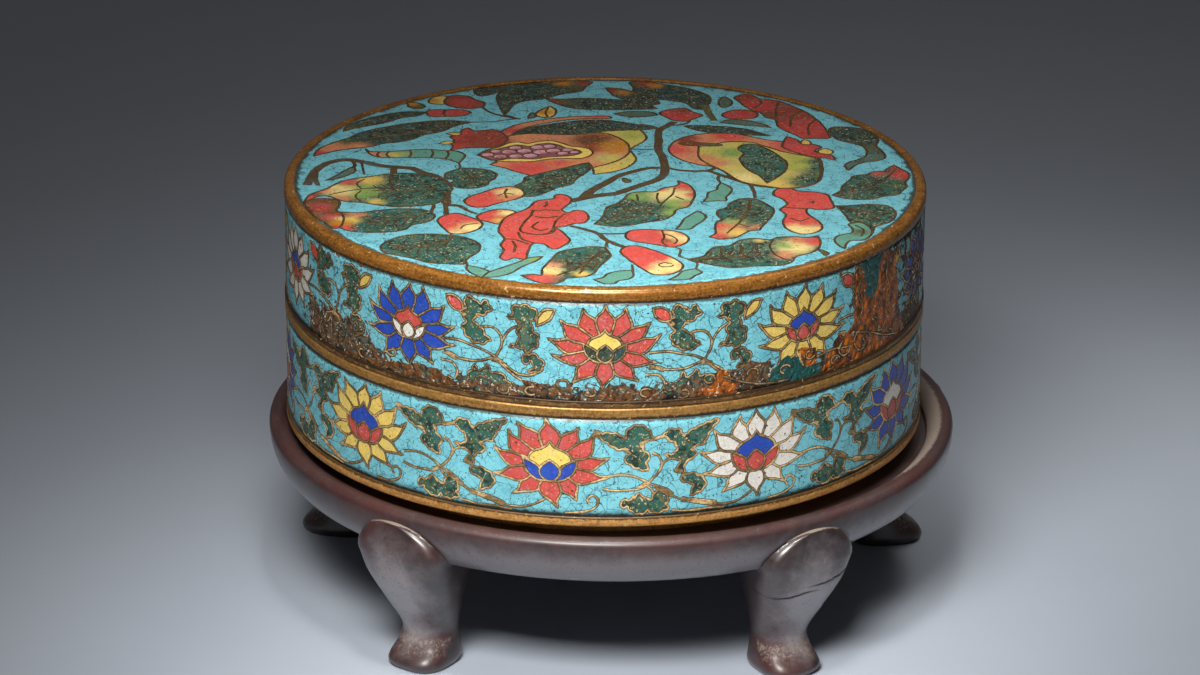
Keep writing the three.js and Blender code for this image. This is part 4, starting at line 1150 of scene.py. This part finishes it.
lidScroll = {
    "leaves": [
        ((-7.1, 8.2), (-5.6, 8.5), (-4.2, 7.5), (-2.9, 8.2), (-1.9, 6.9, 1), (-3.3, 5.8), (-5.1, 5.3, 1),
         (-5.4, 3.8), (-4.0, 3.1), (-3.3, 2.0), (-2.1, 0.8, 1), (-4.2, 0.0), (-6.3, 0.8), (-7.5, 2.4, 1),
         (-6.7, 4.0), (-7.9, 5.3, 1), (-6.7, 6.7)),
        ((1.9, 7.5, 1), (3.8, 8.2), (5.6, 8.0), (6.8, 6.7), (5.6, 5.3, 1), (5.8, 3.8), (6.9, 2.4),
         (6.5, 0.4), (4.9, -0.6, 1), (3.6, 0.2), (1.9, 0.0, 1), (3.6, 1.5), (3.3, 3.1), (3.8, 4.6),
         (2.9, 5.5, 1), (1.5, 5.8, 1), (2.7, 6.7)),
        ((4.0, -2.3), (5.1, -1.2), (6.9, -1.4), (8.0, -2.9), (6.9, -4.3), (5.5, -4.4, 1), (6.5, -3.2),
         (5.8, -2.3), (4.9, -2.7)),
        ((-6.4, -7.2), (-5.1, -4.6, 1), (-4, -5.6), (-2.7, -4.2, 1), (-1.6, -5.6), (0, -5.3, 1),
         (1.6, -7.2), (2.6, -9, 1), (-0.7, -9.2), (-3.8, -9.2), (-6, -9.2)),
    ],
    "vines": [
        ((-11.5, -0.3), (-8.3, -0.1), (-5.6, -0.7), (-2.9, -1.4), (-0.9, -2.4), (1.6, -4.1), (3.8, -5.2),
         (6.0, -5), (8, -3.6)),
        ((-11.2, -3.1), (-7.8, -3.7), (-4.7, -3.6), (-2, -2.7), (-0.9, -2.3)),
        ((-0.9, -2.1), (0.2, 0.2), (0, 2), (-1.3, 3.3), (-2.8, 3.4), (-4.2, 3)),
        ((0.2, 0.4), (0.9, 2.2), (2, 3.5), (3.4, 4.3)),
        ((-0.2, -3.2), (2.5, -5.4), (6, -7.2), (10.5, -8.4), (15, -8.6)),
        ((-12.1, -4.5), (-9.6, -4.7), (-8.5, -6.3), (-9.4, -7.9), (-10.7, -7.4)),
    ],
    "knots": [((-11.5, -2.9), (-8.6, -3.7), 0.8), ((-1.8, -2.8), (0.4, -3.2), 0.7)],
    "webs": [((-7.6, 5.4), (-6.9, 4.9), 0.6), ((-4.9, 5.4), (-4.1, 5.1), 0.6),
             ((3.2, 5.3), (3.7, 4.8), 0.6)],
    "buds": [("coral", ((-10.8, 8.3, 1), (-9.2, 8.4), (-7.6, 7.3), (-7.6, 5.8), (-9.2, 5.8), (-10.3, 6.7))),
             ("straw", ((10.1, 7.9, 1), (8.3, 7.8), (6.9, 6.2), (6.6, 4.5, 1), (8.3, 5.3), (9.4, 6.2)))],
}


lotusForm = {
    "petals": 12, "lean": 1.1, "swell": 0.98, "tip": 1.09,
    "petal": [(0.3, 0.5), (0.52, 0.55), (0.65, 0.54), (0.76, 0.44), (0.85, 0.26), (0.93, 0.11)],
    "dome": [(-0.36, -0.05), (-0.4, 0.12), (-0.32, 0.27), (-0.16, 0.37), (-0.06, 0.45)],
    "cup": [(0.07, -0.46), (0.26, -0.43), (0.42, -0.26), (0.48, -0.07), (0.5, 0.1, 1), (0.36, 0.02),
            (0.22, -0.1), (0.14, -0.25)],
    "heart": [(0, -0.48), (-0.15, -0.37), (-0.19, -0.2), (-0.12, -0.05), (0, 0.07, 1), (0.12, -0.05),
              (0.19, -0.2), (0.15, -0.37)],
}


def petalLoop(k, x, y, size):
    form, half = lotusForm, lotusForm["petal"]
    pitch = 2 * math.pi / form["petals"]
    turn = math.pi / 2 + k * pitch
    lean = form["lean"] * math.cos(turn)
    own = noise.noise((k * 1.7, x, y))  # each petal is bent in its own way
    points = []
    for reach, side, *corner in [*[(r, -a) for r, a in half], (form["tip"], 0.0, 1), *half[::-1]]:
        bent = (lean + 1.2 * own) * max(0, reach - 0.7)
        angle = turn + pitch * (side * form["swell"] * (1 + 0.15 * own) + bent)
        out = reach * (1 + 0.12 * own * max(0, reach - 0.5))
        points.append((size[0] * out * math.cos(angle), size[1] * out * math.sin(angle), *corner))
    return shape(*points, at=(x, y), step=0.4)


def lotus(d, x, y, size, centre, petal, dome, cup):
    form, count = lotusForm, lotusForm["petals"]
    for k in [*range(1, count, 2), *range(0, count, 2)]:
        d.cell(petalLoop(k, x, y, size), petal)
    w, t = size[0] * centre, size[1] * centre

    def part(points, flip=1):
        return shape(*[(w * p[0] * flip, t * p[1], *p[2:]) for p in points], at=(x, y), step=0.5)

    half = form["dome"]
    d.cell(part([*half, (0, 0.57, 1), *[(-a, b) for a, b in reversed(half)], (0, -0.2)]), dome)
    for flip in (-1, 1):
        d.cell(part(form["cup"], flip), cup)
    d.cell(part(form["heart"]), cup)


def alongWall(turn):  # degrees from the front as millimetres along the wall
    return math.radians(turn) * wallRadius


def scrollBand(band, scroll):
    d = Drawing(band["wire"], band["dirt"])
    flowers = sorted((alongWall(turn), *colours) for turn, *colours in band["flowers"])
    flowers.append((flowers[0][0] + wallLength, *flowers[0][1:]))
    for left, right in zip(flowers, flowers[1:]):
        at = ((left[0] + right[0]) / 2, 0)
        for vine in scroll["vines"]:
            d.line(*vine, at=at)
        for start, end, width in scroll["knots"]:
            middle = ((start[0] + end[0]) / 2, (start[1] + end[1]) / 2 + 0.15)
            d.line(start, middle, end, at=at, wire=width)
        for leaf in scroll["leaves"]:
            d.cell(shape(*leaf, at=at, step=0.4), "green", lobes=band["lobes"])
        for start, end, width in scroll["webs"]:
            d.line(start, end, at=at, wire=width)
        for colour, bud in scroll["buds"]:
            d.cell(shape(*bud, at=at, step=0.5), colour)
    for x, *colours in flowers[:-1]:
        lotus(d, x, band["rise"], band["flower"], band["centre"], *colours)
    return d


# old damage of the lid's wall, outlines by degrees from the front and millimetres above the middle
lidDamage = {
    "raggedness": [(1.1, 2.2), (0.4, 0.6)], "margin": 0.05, "curl": (1.1, 0.8, 230),
    "fills": [
        ("earth", (-52, -9.5), (-50, -7.2), (-47.5, -7), (-44.5, -8.3), (-42, -9.5)),
        ("earth", (-43, -9.5), (-40.5, -8.2), (-37, -6.9), (-33, -6.5), (-29.5, -6.8), (-27, -7.9),
         (-25, -9.5)),
        ("earth", (-14, -6.2), (-11.5, -5.9), (-8.5, -6.9), (-5.4, -8), (-6, -8.8), (-9.5, -8.2),
         (-12.6, -7.6)),
        ("earth", (5, -9.5), (6, -7.4), (8, -7), (9.4, -8), (9.8, -9.5)),
        ("earth", (-2.2, -9.5), (-0.6, -7), (1.4, -5.9), (3.3, -6.6), (4.4, -9.5)),
        ("rust", (15.6, -9.5), (17, -8), (19.5, -7.5), (20.2, -5), (21.5, -5.3), (23, -7), (24, -8.5),
         (23, -9.5)),
        ("earth", (24, -6.8), (25.5, -4.2), (28, -4), (30.6, -5), (30, -7), (27, -7.4)),
        ("rust", (42, -9.5), (43, -5.5), (45, -3.4), (48.6, -2.4), (49.6, 1), (49, 4), (49.6, 7.6),
         (51.4, 9.5), (58.4, 9.5), (61.4, 8.4), (63, 6), (64, 0), (65.4, -5), (66.5, -9.5)),
        ("teal", (51.6, 9.5), (57.2, 9.5), (56.6, 6), (56, 2.5), (54.5, 1.6), (53, 3), (52.4, 6)),
        ("teal", (30.4, -9.4), (31, -6.5), (33, -4.8), (35.5, -5.2), (37, -7), (40, -7.2), (41, -9.4)),
        ("rust", (35.6, -4.2), (37, -2.9), (39.6, -4), (39.9, -6.6), (37.6, -6.8)),
        ("ash", (-4.2, -8.7), (-2.6, -8), (-2.4, -9.3), (-4, -9.5)),
    ],
    "curls": [(-58, -7.6, 20), (-53, -5.6, 140), (-47, -8, 60), (-40, -5.6, 200), (-21.5, -7.2, 30),
              (-17.5, -8.4, 150), (-12.5, -8.2, 80), (-7, -6.4, 10), (-2.4, -7.8, 170), (7.4, -8, 40),
              (11.4, -7, 120), (13.8, -8.6, 230), (18.6, -6.2, 60), (26.6, -6.2, 330), (33.2, -6.8, 20),
              (38.6, -5.2, 100), (44.6, -7.8, 0), (61.8, -6.4, 150)],
    "lines": [((21, -6), (25, -7.8), (29, -8.8), (34, -9)), ((50, -4), (54, -5.2), (59, -7.4), (64, -8.8)),
              ((40, -6), (44, -5.6), (48, -6.2)),
              ((50.8, -3.8), (49.6, -5.2), (50.2, -7.2), (51.8, -8), (52.8, -6.8), (52, -5.6), (53.2, -4.8),
               (54.4, -6)), ((46.4, -4.6), (45.4, -6.2), (46.6, -7.6), (48.2, -7.2), (48.4, -5.6)),
              ((55, -2.4), (56.8, -3.6), (56.4, -5.4), (58, -6), (59.6, -4.8)),
              ((60.5, 7.5), (59.4, 4.5), (60.6, 1.5), (59.6, -1.5), (61.4, -4)),
              ((51.2, 6.4), (50.4, 3.4), (51.8, 0.6), (51, -1.6))],
}


def addDamage(drawing, damage, tall):
    # old fills, and the wires that stand bare among them
    edge = tall - damage["margin"]
    for fill, *points in damage["fills"]:
        loop = shape(*[(alongWall(turn), height) for turn, height in points])
        for amount, wave in damage["raggedness"]:
            loop = unsteady(loop, amount, wave)
        loop[:, 1] = np.clip(loop[:, 1], -edge, edge)
        drawing.cell(loop, fill, wire=0, kind=2)
    for points in damage["lines"]:
        drawing.line(*[(alongWall(turn), height) for turn, height in points], kept=True)
    across, up, sweep = damage["curl"]
    for turn, height, opening in damage["curls"]:
        bow = np.radians(opening + np.linspace(0, sweep, 8))
        drawing.line(*zip(across * np.cos(bow), up * np.sin(bow)), at=(alongWall(turn), height), kept=True)


def ramp(values, start, end):  # 0 as far as the start, 1 from the end on
    return np.clip((values - start) / (end - start), 0, 1)


def lossOn(form):
    def at(points):
        turn, height = np.degrees(points[:, 0] / wallRadius), points[:, 1]

        def stretch(start, full, fade, end):
            return ramp(turn, start, full) * ramp(turn, end, fade)

        lost = np.full(len(points), form["all"])
        for start, full, share in form["edges"]:
            lost += stretch(*form["edgeTurns"]) * ramp(height, start, full) * share
        for *ends, share in form["turns"]:
            lost += stretch(*ends) * share
        for x, y, wide, tall, share in form["spots"]:
            lost += share * np.clip(1.6 - 1.6 * np.hypot((turn - x) / wide, (height - y) / tall), 0, 1)
        return np.clip(lost, 0, 0.9)
    return at


def wallPlace(middle):
    def place(points, lift):
        points = np.asarray(points)
        turn = points[:, 0] / wallRadius
        reach = wallRadius + np.asarray(lift)
        return np.column_stack([boxAxis[0] + reach * np.sin(turn), boxAxis[1] - reach * np.cos(turn),
                                middle + points[:, 1]])
    return place


def wallBack(co):
    out = Vector((co.x - boxAxis[0] * mm, co.y - boxAxis[1] * mm, 0))
    return co - out.normalized() * wallField["backDepth"] * mm


def bandBorder(start, tall):
    end = start + wallLength
    along, up = wallField["steps"]
    run = np.linspace(start, end, along)
    lower = np.column_stack([run, np.full(len(run), -tall)])
    upper = np.column_stack([run[::-1], np.full(len(run), tall)])
    rise = np.linspace(-tall, tall, up)[1:-1]
    right = np.column_stack([np.full(len(rise), end), rise])
    left = np.column_stack([np.full(len(rise), start), rise[::-1]])
    return np.concatenate([lower, right, upper, left])


def wrapped(items, start):
    # what crosses the seam of the flat drawing is drawn again at its other end
    both, over = [], wallField["overlap"]
    for item in items:
        both.append(item)
        for shift in (-wallLength, wallLength):
            run = item["path"][:, 0] + shift
            if np.any((run > start - over) & (run < start + wallLength + over)):
                copy = {**item, "path": item["path"] + (shift, 0)}
                if "loop" in item:
                    copy["loop"] = item["loop"] + (shift, 0)
                    copy["fill"] = lambda p, fill=item["fill"], s=shift: fill(p - (s, 0))
                both.append(copy)
    return both


def wallGrid(start, tall):
    grid = gridOver(wallLength / 2, tall, wallField["grid"]) + (start + wallLength / 2, 0)
    x, y = grid.T
    gap = wallField["margin"]
    return grid[(np.abs(y) < tall - gap) & (x > start + gap) & (x < start + wallLength - gap)]


def wallPieces(name, node, band, scroll, wires, damage=None):
    low, high = band["ends"]
    tall, place, loss = (high - low) / 2, wallPlace((high + low) / 2), lossOn(band["loss"])
    start = alongWall(band["flowers"][0][0] - wallField["seamTurn"])
    drawing = scrollBand(band, scroll)
    if damage:
        addDamage(drawing, damage, tall)
    drawing.items = wrapped(drawing.items, start)
    enamel = enamelPiece(name + "_enamel", drawing, bandBorder(start, tall), wallGrid(start, tall), place,
                         wallBack, enamelSkins, lambda p: tall - np.abs(p[:, 1]), True, loss)
    settle(enamel, node)

    def gone(points):
        outside = (points[:, 0] < start) | (points[:, 0] > start + wallLength)
        flaw = np.array([noise.noise((x / 2.5, y / 2.5, 9.1)) for x, y in points])
        return outside | (loss(points) + 0.35 * flaw > 0.5)

    made = wirePiece(name + "_wires", drawing, place, [wires, grime], gone)
    settle(made, node)


wallPieces("lid_wall", "lid", lidBand, lidScroll, lidWireGilt, lidDamage)
wallPieces("box_wall", "box", boxBand, boxScroll, boxWireGilt)


# Hardwood stand
# the fields the wood's finish reads: wear, cracks, and a painted sheen of grey that stands in for highlights
woodFields = ["wear", "crack", "paintedSheen"]


def woodFinish(name, dark, light, paintedSheenTone):
    f = Finish(name, IOR=1.5, Coat_Roughness=0.24)
    at = f.place()
    wear, crack, paintedSheen = [f.field(field) for field in woodFields]
    fibre = f.stretched(at, (1, 0.22, 1))
    grain = f.noise(f.warped(fibre, 12, 3), 1.6, 4, 0.6)
    pore = f.noise(fibre, 0.5, 3, 0.6)
    cloud = f.noise(at, 14, 3)
    colour = f.mix((0.6 * grain + 0.5 * cloud).rise(0.4, 0.72), tone(dark), tone(light))
    red = (wear + 0.9 * (f.noise(at, 6, 4, 0.6) - 0.5)).rise(0.2, 0.5)
    colour = f.mix(red * 0.4, colour, tone("4a1d19"))
    colour = f.mix(f.noise(at, 22, 3).rise(0.46, 0.62) * 0.5, colour, tone("43201b"))
    # painted sheen: a light grey laid into the colour where that field is high, standing in for the lamps'
    # highlight
    paintedSheenShare = (paintedSheen + 0.8 * (f.noise(f.warped(at, 5, 3), 4, 5, 0.65) - 0.5)).rise(0.15, 1.0)
    colour = f.mix(paintedSheenShare, colour, tone(paintedSheenTone))
    colour = f.mix(pore.rise(0.58, 0.7) * 0.5, colour, tone("120c0b"))
    rubbed = (wear + 0.9 * (f.noise(f.warped(at, 1.2, 1), 0.7, 5, 0.8) - 0.5)).rise(0.46, 0.66)
    colour = f.mix(rubbed * 0.7, colour, tone("94887e"))
    colour = f.mix(crack, colour, tone("0c0807"))
    rough = 0.34 + 0.2 * grain + 0.15 * rubbed + 0.25 * wear
    height = 0.6 * grain + 0.4 * pore + 0.5 * rubbed * f.noise(at, 1, 3)
    coat = 0.8 - 0.6 * wear.rise(0.15, 0.5)
    return f.finishWith(height, 0.05, 0.4, Base_Color=colour, Roughness=rough, Coat_Weight=coat)


# the last tone of each is the grey of the painted sheen
trayWood = woodFinish("tray_hardwood", "2a1f20", "403132", "5f585c")
legWood = woodFinish("leg_hardwood", "231a1b", "3e3132", "878083")
standTurn = math.radians(-1.2)
# the last entry turns the tray's painted sheen, in degrees from the front
tray = {"bellyHeight": 31.6, "underRadius": 60, "crestRadius": 64, "innerRadius": 62.7, "innerDrop": 0.3,
        "bevel": (61, 31.2), "recessRadius": 60.6, "floor": 29.9, "steps": (18, 8), "wobble": 0.08,
        "paleTurns": (52, 64, 116, 128), "paintedSheenTurn": 8}


def weighted(made, *values):
    # one value for each point and each field of the wood's finish
    for name, field in zip(woodFields, values):
        shares = np.clip(field, 0, 1).astype(np.float32)
        made.data.attributes.new(name, "FLOAT", "POINT").data.foreach_set("value", shares)


def trayOutside():
    t = tray
    belly, crest = t["steps"]
    height, under, top = t["bellyHeight"], t["underRadius"], t["crestRadius"]
    lower = bend(under, height, trayRadius - under, height - trayUnder, -90, 0, belly)
    return lower + bend(top, height, trayRadius - top, trayRim - height, 0, 90, crest)[1:]


def trayPiece():
    t = tray
    made = turned("stand_tray_wood", [
        (0, trayUnder), *trayOutside(), (t["innerRadius"], trayRim - t["innerDrop"]), t["bevel"],
        (t["recessRadius"], t["floor"]), (0, t["floor"])], (0, 0), [trayWood], t["wobble"])
    x, y, z = np.array([v.co for v in made.data.vertices]).T / mm
    turn = np.degrees(np.arctan2(x, -y))
    start, full, fade, end = t["paleTurns"]
    pale = ramp(turn, start, full) * ramp(turn, end, fade)
    rim = 0.4 * ramp(z, trayRim - 4, trayRim - 0.6)
    # the inner bevel is paler between the paleTurns, on the right side, and a little all round; it goes into
    # the wear field with the rim
    bevel = ((np.hypot(x, y) < t["innerRadius"] + 0.2) & (z > t["floor"] + 0.4)) * (0.22 + 0.6 * pale)
    # painted sheen: the tray's face is greyed most at the front, fading round to the sides and near the rim,
    # as if lit there
    paintedSheen = np.clip(1.4 - np.abs(turn - t["paintedSheenTurn"]) / 50, 0, 1) * ramp(z, trayRim - 1.5, trayRim - 5.5)
    weighted(made, np.maximum(rim, bevel), np.zeros(len(x)), paintedSheen)
    settle(made, "stand_tray")


legForm = {
    "names": ["leg_front_left", "leg_front_right", "leg_right", "leg_back", "leg_left"],
    # height, back and front from the stand's axis, and half the width
    "stations": [(0, 50.1, 62.8, 5.7), (1.2, 49.6, 63.6, 6.4), (2.4, 49.7, 63.0, 6.2),
                 (4.4, 49.9, 60.9, 5.7), (7.2, 50, 59.9, 5.4), (13, 50, 62.9, 7.2), (19, 50, 66.0, 9.1),
                 (24.3, 50.5, 67.2, 10.2)],
    "crest": 31, "setback": 0.3, "sweep": 0.985, "backTaper": 0.18, "gap": 0.05, "seat": 0.06,
    "power": ([0, 8, 18, 26, 31], [2.8, 2.5, 3.4, 4.8, 5]), "sides": 56, "rows": 74, "lobeRows": 26,
    "crackLeg": "leg_front_right", "crackLine": ([-11, -3, 11], [17.9, 18.3, 22]), "crackWidth": 0.3,
    "crackDepth": 0.3, "crackRows": (17.4, 22.6, 0.11), "crackFace": 58,
    "footWear": ([1, 3, 5.5, 9], [0.2, 0.46, 0.54, 0]), "lobeWear": (18, 22),
    # painted sheen by height, and only on faces further out than the last number
    "paintedSheen": ([1, 3, 8, 17, 25, 31], [0.05, 0.35, 0.9, 1, 0.5, 0.25]), "paintedSheenFace": 56,
}


def legRows():
    form, knee = legForm, legForm["stations"][-1]
    line = through(form["stations"], closed=False, step=0.3)
    fine = np.arange(*form["crackRows"])  # close rows where a leg is cracked
    seat = [trayUnder - form["seat"], trayUnder + form["seat"]]
    levels = np.unique(np.concatenate([np.linspace(0, knee[0], form["rows"]), fine, seat]))
    rows = [(z, *(np.interp(z, line[:, 0], line[:, k]) for k in (1, 2, 3))) for z in levels]
    for turn in np.linspace(0, form["sweep"] * math.pi / 2, form["lobeRows"])[1:]:
        rise = math.sin(turn)
        rows.append((knee[0] + (form["crest"] - knee[0]) * rise, knee[1],
                     knee[2] - form["setback"] * rise ** 2, knee[3] * math.cos(turn)))
    return rows


def legPoints(rows):
    # rings of points up a leg that stands in front of the axis
    form, sides, rings = legForm, legForm["sides"], []
    outer = np.array(trayOutside())
    angles = (np.arange(sides) + 0.5) / sides * 2 * math.pi
    for z, back, front, half in rows:
        power = 2 / np.interp(z, *form["power"])
        across, out = [np.sign(c) * np.abs(c) ** power for c in (np.cos(angles), np.sin(angles))]
        narrowing = 1 - form["backTaper"] * (1 - out) / 2
        x = half * across * narrowing
        y = back + (front - back) / 2 * (1 + out)
        if z > trayUnder:  # the leg is cut to the bowl above it
            least = np.interp(z, outer[:, 1], outer[:, 0]) + form["gap"]
            push = np.maximum(1, least / np.hypot(x, y))
            x, y = x * push, y * push
        rings.append(np.column_stack([x, -y, np.full(sides, z)]))
    return np.concatenate(rings)


def legFaces(count):
    sides = legForm["sides"]
    last = (count - 1) * sides
    faces = [list(range(sides)), [last + k for k in reversed(range(sides))]]
    for low in range(0, last, sides):
        for k in range(sides):
            a, b = low + k, low + (k + 1) % sides
            faces.append((a, a + sides, b + sides, b))
    return faces


def legPiece(name, turn):
    form, rows = legForm, legRows()
    points = legPoints(rows)
    split = np.zeros(len(points))
    if name == form["crackLeg"]:
        wander = [0.25 * noise.noise((x / 1.5, 0, 4.4)) for x in points[:, 0]]
        away = np.abs(points[:, 2] - np.interp(points[:, 0], *form["crackLine"]) - wander)
        split = np.clip(1.3 - 1.3 * away / form["crackWidth"], 0, 1) * (-points[:, 1] > form["crackFace"])
        points[:, 1] += form["crackDepth"] * split
    c, s = math.cos(turn), math.sin(turn)
    places = points @ np.array([[c, s, 0], [-s, c, 0], [0, 0, 1]])
    made = newObject(name + "_wood", places, legFaces(len(rows)), [legWood])
    made.data.set_sharp_from_angle(angle=math.radians(50))
    heights, fronts, halves = np.array(rows).T[[0, 2, 3]]
    side, out, z = np.abs(points[:, 0]), -points[:, 1], points[:, 2]
    front, half = np.interp(z, heights, fronts), np.interp(z, heights, halves)
    edge = np.clip((side - half + 1.2) / 0.9, 0, 1) * (out > front - 1.6)
    lobe = edge * ramp(z, *form["lobeWear"]) * 0.85
    foot = np.interp(z, *form["footWear"]) * (out > front - 5)
    # painted sheen down the middle of each leg's outer face, greyed as if lit, partly a waxy bloom rubbed by
    # handling
    middle = np.clip(1.25 - 1.1 * side / half, 0, 1) * (out > form["paintedSheenFace"])
    weighted(made, np.maximum(lobe, foot), split, middle * np.interp(z, *form["paintedSheen"]))
    settle(made, name)
    print(name, len(made.data.polygons), "faces")


trayPiece()
for k, name in enumerate(legForm["names"]):
    legPiece(name, standTurn + (k - 0.5) * math.radians(72))


# Floor, light and camera
stage = {"floor": "a4adbb", "floorSize": 6.0, "world": ("969390", 0.2)}
floorFinish = Finish("pale_floor", Roughness=0.6)
speck = floorFinish.noise(floorFinish.place(), 30, 3)
floorFinish.finishWith(None, Base_Color=floorFinish.scaled(tuple(tone(stage["floor"])), 0.97 + 0.06 * speck))
side = stage["floorSize"] / 2 / mm
floor = newObject("floor", [(-side, -side, 0), (side, -side, 0), (side, side, 0), (-side, side, 0)],
                  [(0, 1, 2, 3)], [floorFinish.material], smooth=False)

world = bpy.data.worlds.new("soft_room")
world.use_nodes = True
background = world.node_tree.nodes["Background"]
background.inputs["Color"].default_value = (*tone(stage["world"][0]), 1)
background.inputs["Strength"].default_value = stage["world"][1]
bpy.context.scene.world = world

lamps = [  # name, place and aim in metres, size, power, spread in degrees, colour
    ("key", (-0.05, -0.28, 0.29), (0.0, -0.08, 0.04), (0.16, 0.1), 0.245, 55, "fffbf5"),
    ("top", (0.0, -0.15, 0.45), (0, -0.055, 0.08), (0.08, 0.08), 0.027, 25, "fffbf5"),
    ("overhead", (-0.05, -0.05, 1.0), (0, -0.02, 0), (0.5, 0.4), 0.055, 120, "f6f9ff"),
    ("behind", (0.35, 0.55, 0.9), (0, 0.02, 0.05), (0.4, 0.4), 0.085, 60, "fff8ee"),
    ("right", (0.25, 0.02, 0.6), (0.125, 0.055, 0), (0.12, 0.12), 0.03, 22, "fffbf5"),
]
for name, place, aim, size, power, spread, colour in lamps:
    data = bpy.data.lights.new(name, "AREA")
    data.shape, data.size, data.size_y = "RECTANGLE", *size
    data.energy, data.color, data.spread = power, tone(colour), math.radians(spread)
    lamp = bpy.data.objects.new(name, data)
    lamp.location = place
    lamp.rotation_euler = (Vector(aim) - Vector(place)).to_track_quat("-Z", "Y").to_euler()
    bpy.context.scene.collection.objects.link(lamp)

view = {"lens": 174.66, "place": (0.0, -1042.82, 368.65), "aim": (-0.75, 0.0, -32.65), "roll": 0.448}
lidCentre = Vector((*boxAxis, lidTop))
eye = (lidCentre + Vector(view["place"])) * mm
aim = (lidCentre + Vector(view["aim"])) * mm
camera = bpy.data.objects.new("camera", bpy.data.cameras.new("camera"))
camera.data.lens, camera.data.sensor_width = view["lens"], 36
camera.location = eye
straight = (aim - eye).to_track_quat("-Z", "Y")
camera.rotation_mode = "QUATERNION"
camera.rotation_quaternion = straight @ Quaternion((0, 0, 1), math.radians(view["roll"]))
bpy.context.scene.collection.objects.link(camera)
bpy.context.scene.camera = camera
bpy.context.scene.view_settings.view_transform = "Standard"
print("stage ready")
